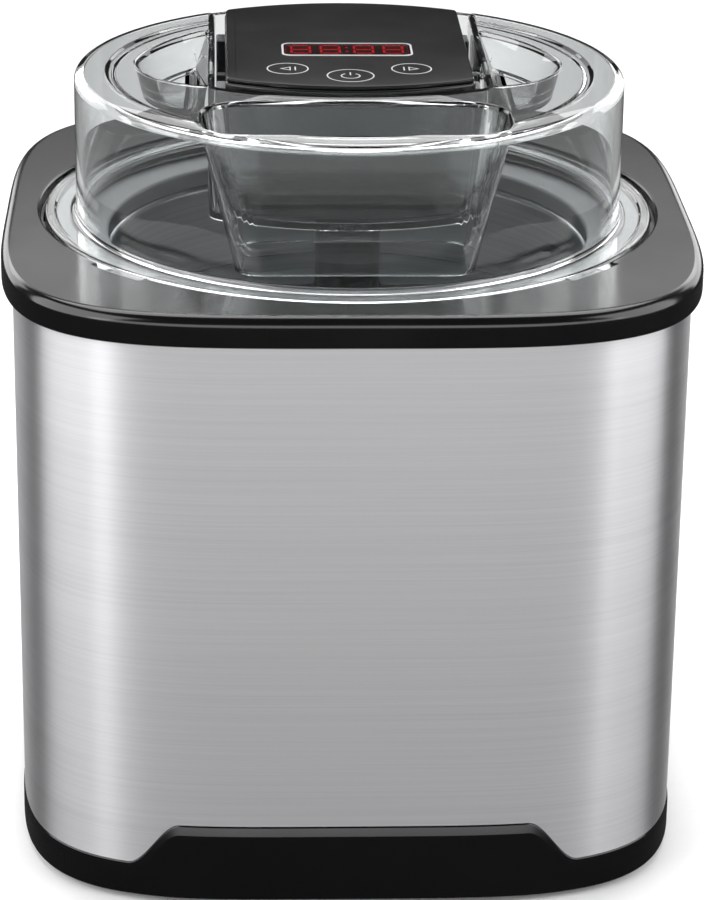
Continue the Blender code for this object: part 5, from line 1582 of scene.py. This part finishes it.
    def make_drive(self) -> None:
        """Motor can, gear plate, hexagonal posts, bushes, axle and power jack."""
        lowest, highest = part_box("motor")
        spot, radius = (middle("motor").x, middle("motor").y), (highest.x - lowest.x) / 2
        can = turned("motor_finished", (
            Corner(2.4 * MM, lowest.z + 6 * MM), Corner(2.4 * MM, lowest.z),
            Corner(radius, lowest.z, 0.8 * MM),
            Corner(radius, lowest.z + 6 * MM), Corner(radius - 0.3 * MM, lowest.z + 6.3 * MM),
            Corner(radius - 0.3 * MM, highest.z - 2 * MM, 1.8 * MM),
            Corner(6 * MM, highest.z - 1.5 * MM, 0.4 * MM),
            Corner(5 * MM, highest.z, 0.4 * MM), Corner(0.0, highest.z), Corner(0.0, lowest.z + 6 * MM)),
                     96, spot)
        self.dress(settle(can), "motor_unit", Finish.SCREW_STEEL, ["motor"])
        self.make_plate()
        for number in range(1, 5):
            node = f"plate_post_{number}"
            foot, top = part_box(node)
            flats = [(middle(node).x + (top.x - foot.x) / 2 * math.cos(TURN * k / 6),
                      middle(node).y + (top.x - foot.x) / 2 * math.sin(TURN * k / 6)) for k in range(6)]
            post = moulded(node + "_finished", flats,
                           (Corner(-0.4 * MM, foot.z), Corner(0.0, foot.z + 0.4 * MM),
                                                       Corner(0.0, top.z - 0.4 * MM),
                                                       Corner(-0.4 * MM, top.z)))
            self.dress(settle(post), "motor_unit", Finish.BRASS, [node])
        foot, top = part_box("idler_axle")
        pin = (top.x - foot.x) / 2
        axle = turned("idler_axle_finished", (
            Corner(0.0, foot.z), Corner(pin, foot.z, 0.3 * MM), Corner(pin, top.z - 0.9 * MM),
            Corner(pin - 0.35 * MM, top.z - 0.9 * MM), Corner(pin - 0.35 * MM, top.z - 0.5 * MM),
            Corner(pin, top.z - 0.5 * MM), Corner(pin, top.z, 0.2 * MM), Corner(0.0, top.z)), 32,
            (middle("idler_axle").x, middle("idler_axle").y))
        self.dress(settle(axle), "motor_unit", Finish.SCREW_STEEL, ["idler_axle"])
        for node, bore in (("lower_bush", 5.3 * MM), ("upper_bush", 3.3 * MM)):
            foot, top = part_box(node)
            bush = turned(node + "_finished", (
                Corner(top.x, foot.z, 0.3 * MM), Corner(top.x, top.z, 0.3 * MM),
                Corner(bore + 0.4 * MM, top.z),
                Corner(bore, top.z - 0.4 * MM), Corner(bore, foot.z + 0.4 * MM),
                Corner(bore + 0.4 * MM, foot.z)), 64)
            self.dress(settle(bush), "motor_unit", Finish.BRASS, [node])
        foot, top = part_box("power_jack")
        jack = boxed("power_jack_finished", foot, top, 0.9 * MM)
        height, reach = (foot.z + top.z) / 2, 3.2 * MM
        bore = [[Vector((reach * math.cos(TURN * k / 48), y, height + reach * math.sin(TURN * k / 48)))
                 for k in range(48)] for y in (top.y - 7 * MM, top.y + MM)]
        cut(jack, skin("tool", bore))
        self.dress(settle(jack), "motor_unit", Finish.MATT_BLACK, ["power_jack"])

    def make_plate(self) -> None:
        """Steel plate over the gears, with clearance holes and lightening slots."""
        foot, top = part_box("gear_plate")
        plate = boxed("gear_plate_finished", foot, top, 1.0 * MM)
        idler, pinion = middle("idler_axle").y, middle("motor").y
        for y, radius in ((0.0, 6.0 * MM), (idler, 1.8 * MM), (pinion, 3.0 * MM)):
            cut(plate, turned("tool", (Corner(0.0, foot.z - MM), Corner(radius, foot.z - MM),
                                       Corner(radius, top.z + MM), Corner(0.0, top.z + MM)), 48, (0.0, y)))
        for side in (-1, 1):
            xs = sorted((side * 14 * MM, side * 21 * MM))
            cut(plate, moulded("tool", rectangle(xs[0], xs[1], 2 * MM, 22 * MM, 3 * MM),
                               (Corner(0.0, foot.z - MM), Corner(0.0, top.z + MM))))
        self.dress(settle(plate), "motor_unit", Finish.SCREW_STEEL, ["gear_plate"])
        for node in sorted(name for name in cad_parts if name.startswith("case_screw_")):
            self.dress(settle(self.shop.screw(node, 1.7 * MM), 40.0), "motor_unit", Finish.SCREW_STEEL,
                       [node])

    def make_buttons(self) -> None:
        """Ribbed release buttons in their slides, and their return springs."""
        for side, place in ((-1, "left"), (1, "right")):
            foot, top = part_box(f"release_button_{place}")
            face = side * max(abs(foot.x), abs(top.x))
            stop, half_y, base, crest = self.case_half - self.wall - 0.3 * MM, 5.0 * MM, 236.5 * MM, 244.5 * MM
            xs = sorted((side * (stop - MM), face))
            pad = boxed(f"release_button_{place}_finished", Vector((xs[0], self.button_y - half_y, base)),
                        Vector((xs[1], self.button_y + half_y, crest)), 1.0 * MM)
            xs = sorted((side * (stop - 2 * MM), side * stop))
            fuse(pad, boxed("tool", Vector((xs[0], self.button_y - half_y - 1.5 * MM, base - 1.5 * MM)),
                            Vector((xs[1], self.button_y + half_y + 1.5 * MM, crest + MM)), 0.4 * MM))
            grooves = [Vector((face, self.button_y,
                               base + 1.6 * MM + number * 1.6 * MM)) for number in range(4)]
            cut(pad, self.shop.bars.make("tool", grooves, {"Size": Vector((0.8 * MM, 8 * MM, 0.6 * MM)),
                                                           "Lean": Vector((0, 0, 0)),
                                                           "Material": Finish.GREY_PLASTIC.material()}))
            centre = (base + crest) / 2
            bore = [[Vector((side * x, self.button_y + 2.6 * MM * math.cos(TURN * k / 32),
                             centre + 2.6 * MM * math.sin(TURN * k / 32))) for k in range(32)]
                    for x in (stop - 3 * MM, stop + 5 * MM)]
            cut(pad, skin("tool", bore))
            self.dress(settle(pad), f"{place}_button", Finish.GREY_PLASTIC, [f"release_button_{place}"])
            node = f"button_spring_{place}"
            foot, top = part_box(node)
            wire = 0.28 * MM
            spring = self.shop.springs.make(node + "_finished",
                                            [Vector((foot.x + wire, self.button_y, centre))], {
                "Radius": (top.z - foot.z) / 2 - wire, "Length": top.x - foot.x - 2 * wire, "Turns": 6.0,
                "Wire": wire,
                "Lean": Vector((0.0, math.pi / 2, 0.0)), "Material": Finish.SCREW_STEEL.material()})
            self.dress(spring, "motor_unit", Finish.SCREW_STEEL, [node])


# ---- gear train ----------------------------------------------------------------------
@dataclass(frozen=True)
class Gear:
    """A spur gear of module 1 mm, one tooth centred on a bearing."""

    teeth: int
    phase: float
    module: float = 1.0 * MM

    def plan(self) -> Outline:
        """Plan with rounded flanks and root fillets."""
        pitch = self.module * self.teeth / 2
        root, tip, step = pitch - 1.25 * self.module, pitch + 0.85 * self.module, TURN / self.teeth
        shape = ((-0.34, root), (-0.285, root + 0.12 * self.module), (-0.205, pitch - 0.35 * self.module),
                 (-0.155, pitch + 0.25 * self.module), (-0.105, tip - 0.1 * self.module), (-0.085, tip))
        tooth = list(shape) + [(-share, radius) for share, radius in reversed(shape)]
        return [(radius * math.cos(self.phase + (number + share) * step),
                 radius * math.sin(self.phase + (number + share) * step))
                for number in range(self.teeth) for share, radius in tooth]

    def solid(self, name: str, foot: float, top: float, y: float) -> bpy.types.Object:
        """The gear's body with eased faces."""
        ease = 0.15 * self.module
        plan = [(px, py + y) for px, py in self.plan()]
        return moulded(name, plan, (Corner(-ease, foot), Corner(0.0, foot + ease), Corner(0.0, top - ease),
                                    Corner(-ease, top)))


@dataclass
class GearTrain(Assembly):
    """Motor pinion, compound idler, output gear and output shaft."""

    output_teeth: int = 40
    idler_teeth: int = 30
    pinion_teeth: int = 12
    hex_radius: float = 5.4 * MM
    shaft_radius: float = 5.0 * MM

    def build(self) -> None:
        """Make the gears and the shaft."""
        to_motor, to_output = math.pi / 2, -math.pi / 2
        half_tooth = TURN / self.pinion_teeth / 2
        idler_y, motor_y = middle("idler_gear").y, middle("motor").y
        foot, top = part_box("idler_gear")
        split = high("output_gear").z + 0.4 * MM
        pinion = Gear(self.pinion_teeth, to_output + half_tooth).solid("motor_pinion_finished", split,
                                                                       top.z, motor_y)
        fuse(pinion, self.rod(1.9 * MM, top.z - MM, high("motor_pinion").z, motor_y))
        self.dress(settle(pinion), "pinion", Finish.BRASS, ["motor_pinion"])
        idler = Gear(self.idler_teeth, to_motor).solid("idler_gear_finished", split, top.z, idler_y)
        fuse(idler, Gear(self.pinion_teeth, to_output + half_tooth).solid("tool", foot.z, split + MM,
                                                                          idler_y))
        cut(idler, self.rod(1.8 * MM, foot.z - MM, top.z + MM, idler_y),
            self.web(idler_y, 6.4 * MM, 12.0 * MM, top.z))
        self.dress(settle(idler), "idler", Finish.ACETAL, ["idler_gear"])
        foot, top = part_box("output_gear")
        gear = Gear(self.output_teeth, to_motor).solid("output_gear_finished", foot.z, top.z, 0.0)
        cut(gear, self.rod(self.shaft_radius + 0.3 * MM, foot.z - MM, top.z + MM, 0.0),
            self.web(0.0, 8.0 * MM, 16.5 * MM, top.z))
        self.dress(settle(gear), "output", Finish.ACETAL, ["output_gear"])
        self.make_shaft()

    def rod(self, radius: float, foot: float, top: float, y: float) -> bpy.types.Object:
        """A plain upright rod, used as a tool."""
        return turned("tool",
                      (Corner(0.0, foot), Corner(radius, foot), Corner(radius, top), Corner(0.0, top)), 40,
                      (0.0, y))

    def web(self, y: float, inner: float, outer: float, top: float) -> bpy.types.Object:
        """A ring-shaped recess that thins a gear's web, used as a tool."""
        floor = top - 0.7 * MM
        return turned("tool",
                      (Corner(outer, floor, 0.3 * MM), Corner(outer, top + MM), Corner(inner, top + MM),
                               Corner(inner, floor, 0.3 * MM)), 64, (0.0, y))

    def make_shaft(self) -> None:
        """Stepped steel shaft whose lower end is hexagonal, to drive the paddle."""
        foot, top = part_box("output_shaft")
        shoulder, radius = high("output_gear").z + 0.3 * MM, self.shaft_radius
        shaft = turned("output_shaft_finished", (
            Corner(0.0, 203 * MM), Corner(radius, 203 * MM), Corner(radius, shoulder),
            Corner(radius + 1.5 * MM, shoulder, 0.3 * MM),
            Corner(radius + 1.5 * MM, shoulder + 1.5 * MM, 0.3 * MM), Corner(3.0 * MM, shoulder + 1.5 * MM),
            Corner(3.0 * MM, top.z, 0.5 * MM), Corner(0.0, top.z)), 64)
        flats = [(self.hex_radius * math.cos(TURN * k / 6),
                  self.hex_radius * math.sin(TURN * k / 6)) for k in range(6)]
        fuse(shaft, moulded("tool", flats, (Corner(-2 * MM, foot.z), Corner(-1.0 * MM, foot.z, 0.4 * MM),
                                            Corner(0.0, foot.z + 1.6 * MM), Corner(0.0, 203.5 * MM))))
        self.dress(settle(shaft), "output", Finish.SCREW_STEEL, ["output_shaft"])


# ---- mixing paddle -------------------------------------------------------------------
@dataclass
class MixingPaddle(Assembly):
    """One moulding: hub with a hexagonal socket, shoulder bar, two pitched blades and a foot bar."""

    reach: float = 71.0 * MM
    shoulder: float = 176.0 * MM
    hub_radius: float = 11.0 * MM
    blade_width: float = 19.0 * MM
    pitch: float = math.radians(24.0)
    socket_floor: float = 181.0 * MM
    hex_radius: float = 6.0 * MM
    grain: float = 0.9 * MM

    def build(self) -> None:
        """Fuse the parts, then melt them together with a voxel remesh and light smoothing."""
        foot, top = low("mixing_paddle").z, high("mixing_paddle").z
        paddle = turned("mixing_paddle_finished", (
            Corner(0.0, self.shoulder - 14 * MM),
            Corner(self.hub_radius - 3.5 * MM, self.shoulder - 14 * MM, 3 * MM),
            Corner(self.hub_radius, self.shoulder, 2 * MM), Corner(self.hub_radius, top, 1.2 * MM),
            Corner(0.0, top)), 64)
        for side in (-1, 1):
            fuse(paddle, self.blade(side, foot))
        bar = self.reach - 9 * MM
        fuse(paddle, boxed("tool", Vector((-bar, -2.6 * MM, self.shoulder - 9 * MM)),
                           Vector((bar, 2.6 * MM, self.shoulder)), 1.2 * MM),
             boxed("tool", Vector((-bar, -2.2 * MM, foot)), Vector((bar, 2.2 * MM, foot + 11 * MM)),
                   1.0 * MM),
             turned("tool", (Corner(0.0, foot - MM), Corner(6.5 * MM, foot - MM, MM),
                             Corner(6.5 * MM, foot + 14 * MM, 2 * MM), Corner(0.0, foot + 14 * MM)), 48))
        flats = [(self.hex_radius * math.cos(TURN * k / 6),
                  self.hex_radius * math.sin(TURN * k / 6)) for k in range(6)]
        cut(paddle, turned("tool", (Corner(0.0, foot - 9 * MM), Corner(3.8 * MM, foot - 9 * MM),
                                    Corner(3.8 * MM, foot + 4.4 * MM), Corner(0.0, foot + 4.4 * MM)), 40),
            skin("tool", [at_height(flats, self.socket_floor), at_height(flats, top + 5 * MM)]))
        melt = paddle.modifiers.new("melt", "REMESH")
        melt.mode, melt.voxel_size, melt.use_smooth_shade = "VOXEL", self.grain, True
        ease = paddle.modifiers.new("ease", "SMOOTH")
        ease.factor, ease.iterations = 0.5, 4
        self.dress(settle(bake(paddle), 60.0), "paddle", Finish.MATT_BLACK, ["mixing_paddle"])

    def blade(self, side: int, foot: float) -> bpy.types.Object:
        """One upright blade, thinner at its outer edge and pitched about its own middle."""
        half, centre = self.blade_width / 2, self.reach - self.blade_width / 2
        corners = [Corner(-half, -2.0 * MM, 0.9 * MM), Corner(half, -0.9 * MM, 0.7 * MM),
                   Corner(half, 0.9 * MM, 0.7 * MM), Corner(-half, 2.0 * MM, 0.9 * MM)]
        outline = []
        for u, v in rounded(corners):
            x = centre + u * math.cos(self.pitch) - v * math.sin(self.pitch)
            outline.append((side * x, side * (u * math.sin(self.pitch) + v * math.cos(self.pitch))))
        return moulded("tool", outline, (Corner(-0.6 * MM, foot), Corner(0.0, foot + 0.6 * MM),
                                         Corner(0.0, self.shoulder - 0.6 * MM),
                                         Corner(-0.6 * MM, self.shoulder)))

# ---- studio --------------------------------------------------------------------------
@dataclass(frozen=True)
class Softbox:
    """A rectangular lamp that faces the object, as bright as a white card times its brightness."""

    name: str
    size: Point
    place: tuple[float, float, float]
    brightness: float
    aim: tuple[float, float, float] = (0.0, 0.0, 0.12)
    colour: str = "#ffffff"

    def light(self) -> None:
        """Put the lamp in the scene."""
        data = bpy.data.lights.new(self.name, "AREA")
        data.shape, data.size, data.size_y = "RECTANGLE", *self.size
        data.energy, data.color = self.brightness * math.pi * self.size[0] * self.size[1], linear(self.colour)[:3]
        lamp = bpy.data.objects.new(self.name, data)
        lamp.matrix_world = aimed(Vector(self.place), Vector(self.aim))
        bpy.context.scene.collection.objects.link(lamp)


def aimed(place: Vector, aim: Vector) -> Matrix:
    """A placement at one point that looks at another, its top upwards."""
    turn = (aim - place).to_track_quat("-Z", "Y")
    return Matrix.Translation(place) @ turn.to_matrix().to_4x4()


@dataclass
class Studio:
    """Pale floor, soft light and the camera."""

    focal_mm: float = 136.65
    sensor_mm: float = 36.0
    azimuth: float = math.radians(-2.412)
    elevation: float = math.radians(21.402)
    roll: float = math.radians(0.729)
    target: tuple[float, float, float] = (0.002483, -0.000105, 0.115458)
    distance: float = 1.18715
    surround: str = "#404040"
    beyond: str = "#f6f6f6"
    floor_reach: float = 1.5
    turned_share: float = 0.62        # how much of the white beyond is left after a reflection inside the plastic
    boxes: tuple[Softbox, ...] = (
        Softbox("left_box", (1.5, 1.1), (-1.0, -0.30, 0.58), 3.2),
        Softbox("right_box", (1.2, 1.1), (1.05, -0.30, 0.58), 3.1),
        Softbox("left_rear_box", (1.3, 1.2), (-1.25, 1.9, 0.7), 2.2),
        Softbox("right_rear_box", (1.3, 1.2), (1.25, 1.9, 0.7), 2.2),
        Softbox("front_box", (4.6, 0.66), (0.0, -1.7, 0.30), 2.6, (0.0, 0.0, 0.26)),
        Softbox("top_box", (1.6, 1.2), (0.0, 0.55, 1.6), 4.2),
        Softbox("back_box", (7.0, 2.4), (0.0, 6.0, 3.18), 1.1, (0.0, 0.0, 3.18)),
    )

    def build(self) -> None:
        """Set the camera, the floor, the lamps and the surroundings."""
        self.set_camera()
        floor = bpy.data.meshes.new("floor")
        reach = self.floor_reach
        floor.from_pydata([(-reach, -reach, 0.0), (reach, -reach, 0.0), (reach, reach, 0.0),
                           (-reach, reach, 0.0)],
                          [], [(0, 1, 2, 3)])
        made, tree, shader = blank_material("paper_floor")
        fibre = noise(tree, object_space(tree, (600.0,) * 3), 3.0)
        tree.links.new(tint(tree, fibre, "#f4f4f4", "#f8f8f8"), shader.inputs["Base Color"])
        shader.inputs["Roughness"].default_value = 0.9
        floor.materials.append(made)
        sheet = new_piece("floor", floor)
        sheet.visible_glossy = False      # gloss shows the dark surroundings instead, as in a cut-out shot
        sheet.visible_transmission = False    # and clear plastic shows the white beyond, with no veil
        for box in self.boxes:
            box.light()
        world = bpy.data.worlds.new("studio")
        world.use_nodes = True
        path = add(world.node_tree, "ShaderNodeLightPath")
        direct = add(world.node_tree, "ShaderNodeMapRange",
                     {"Value": path.outputs["Glossy Depth"], "To Min": 1.0,
                                                             "To Max": self.turned_share}).outputs[0]
        through = add(world.node_tree, "ShaderNodeMath", {0: path.outputs["Is Transmission Ray"], 1: direct},
                      operation="MULTIPLY").outputs[0]
        seen = add(world.node_tree, "ShaderNodeMath", {0: through, 1: path.outputs["Is Camera Ray"]},
                   operation="MAXIMUM").outputs[0]
        colour = add(world.node_tree, "ShaderNodeMix", {"Factor": seen}, data_type="RGBA")
        colour.inputs["A"].default_value, colour.inputs["B"].default_value = (
            linear(self.surround), linear(self.beyond))
        world.node_tree.links.new(colour.outputs["Result"],
                                  world.node_tree.nodes["Background"].inputs["Color"])
        bpy.context.scene.world = world
        bpy.context.scene.view_settings.view_transform = "Standard"

    def set_camera(self) -> None:
        """Place the camera on its bearing round the target, with a slight roll."""
        a, e, r = self.azimuth, self.elevation, self.roll
        back = Vector((math.sin(a) * math.cos(e), -math.cos(a) * math.cos(e), math.sin(e)))
        right = Vector((math.cos(a), math.sin(a), 0.0))
        up = back.cross(right)
        across = math.cos(r) * right + math.sin(r) * up
        upward = math.cos(r) * up - math.sin(r) * right
        turn = Matrix((across, upward, back)).transposed().to_4x4()
        data = bpy.data.cameras.new("camera")
        data.lens, data.sensor_width = self.focal_mm, self.sensor_mm
        data.clip_start, data.clip_end = 0.01, 50.0
        camera = bpy.data.objects.new("camera", data)
        camera.matrix_world = Matrix.Translation(Vector(self.target) + back * self.distance) @ turn
        bpy.context.scene.collection.objects.link(camera)
        bpy.context.scene.camera = camera


def main() -> None:
    """Build every sub-assembly in order, then the studio."""
    logging.basicConfig(level=logging.INFO, format="%(message)s")
    shop = Workshop()
    for assembly in (Housing(shop), FreezerBowl(), ClearLid(), MotorUnit(shop), GearTrain(), MixingPaddle()):
        assembly.build()
        LOG.info("%s: %d pieces", type(assembly).__name__, len(assembly.pieces))
    Studio().build()


if __name__ == "__main__":
    main()
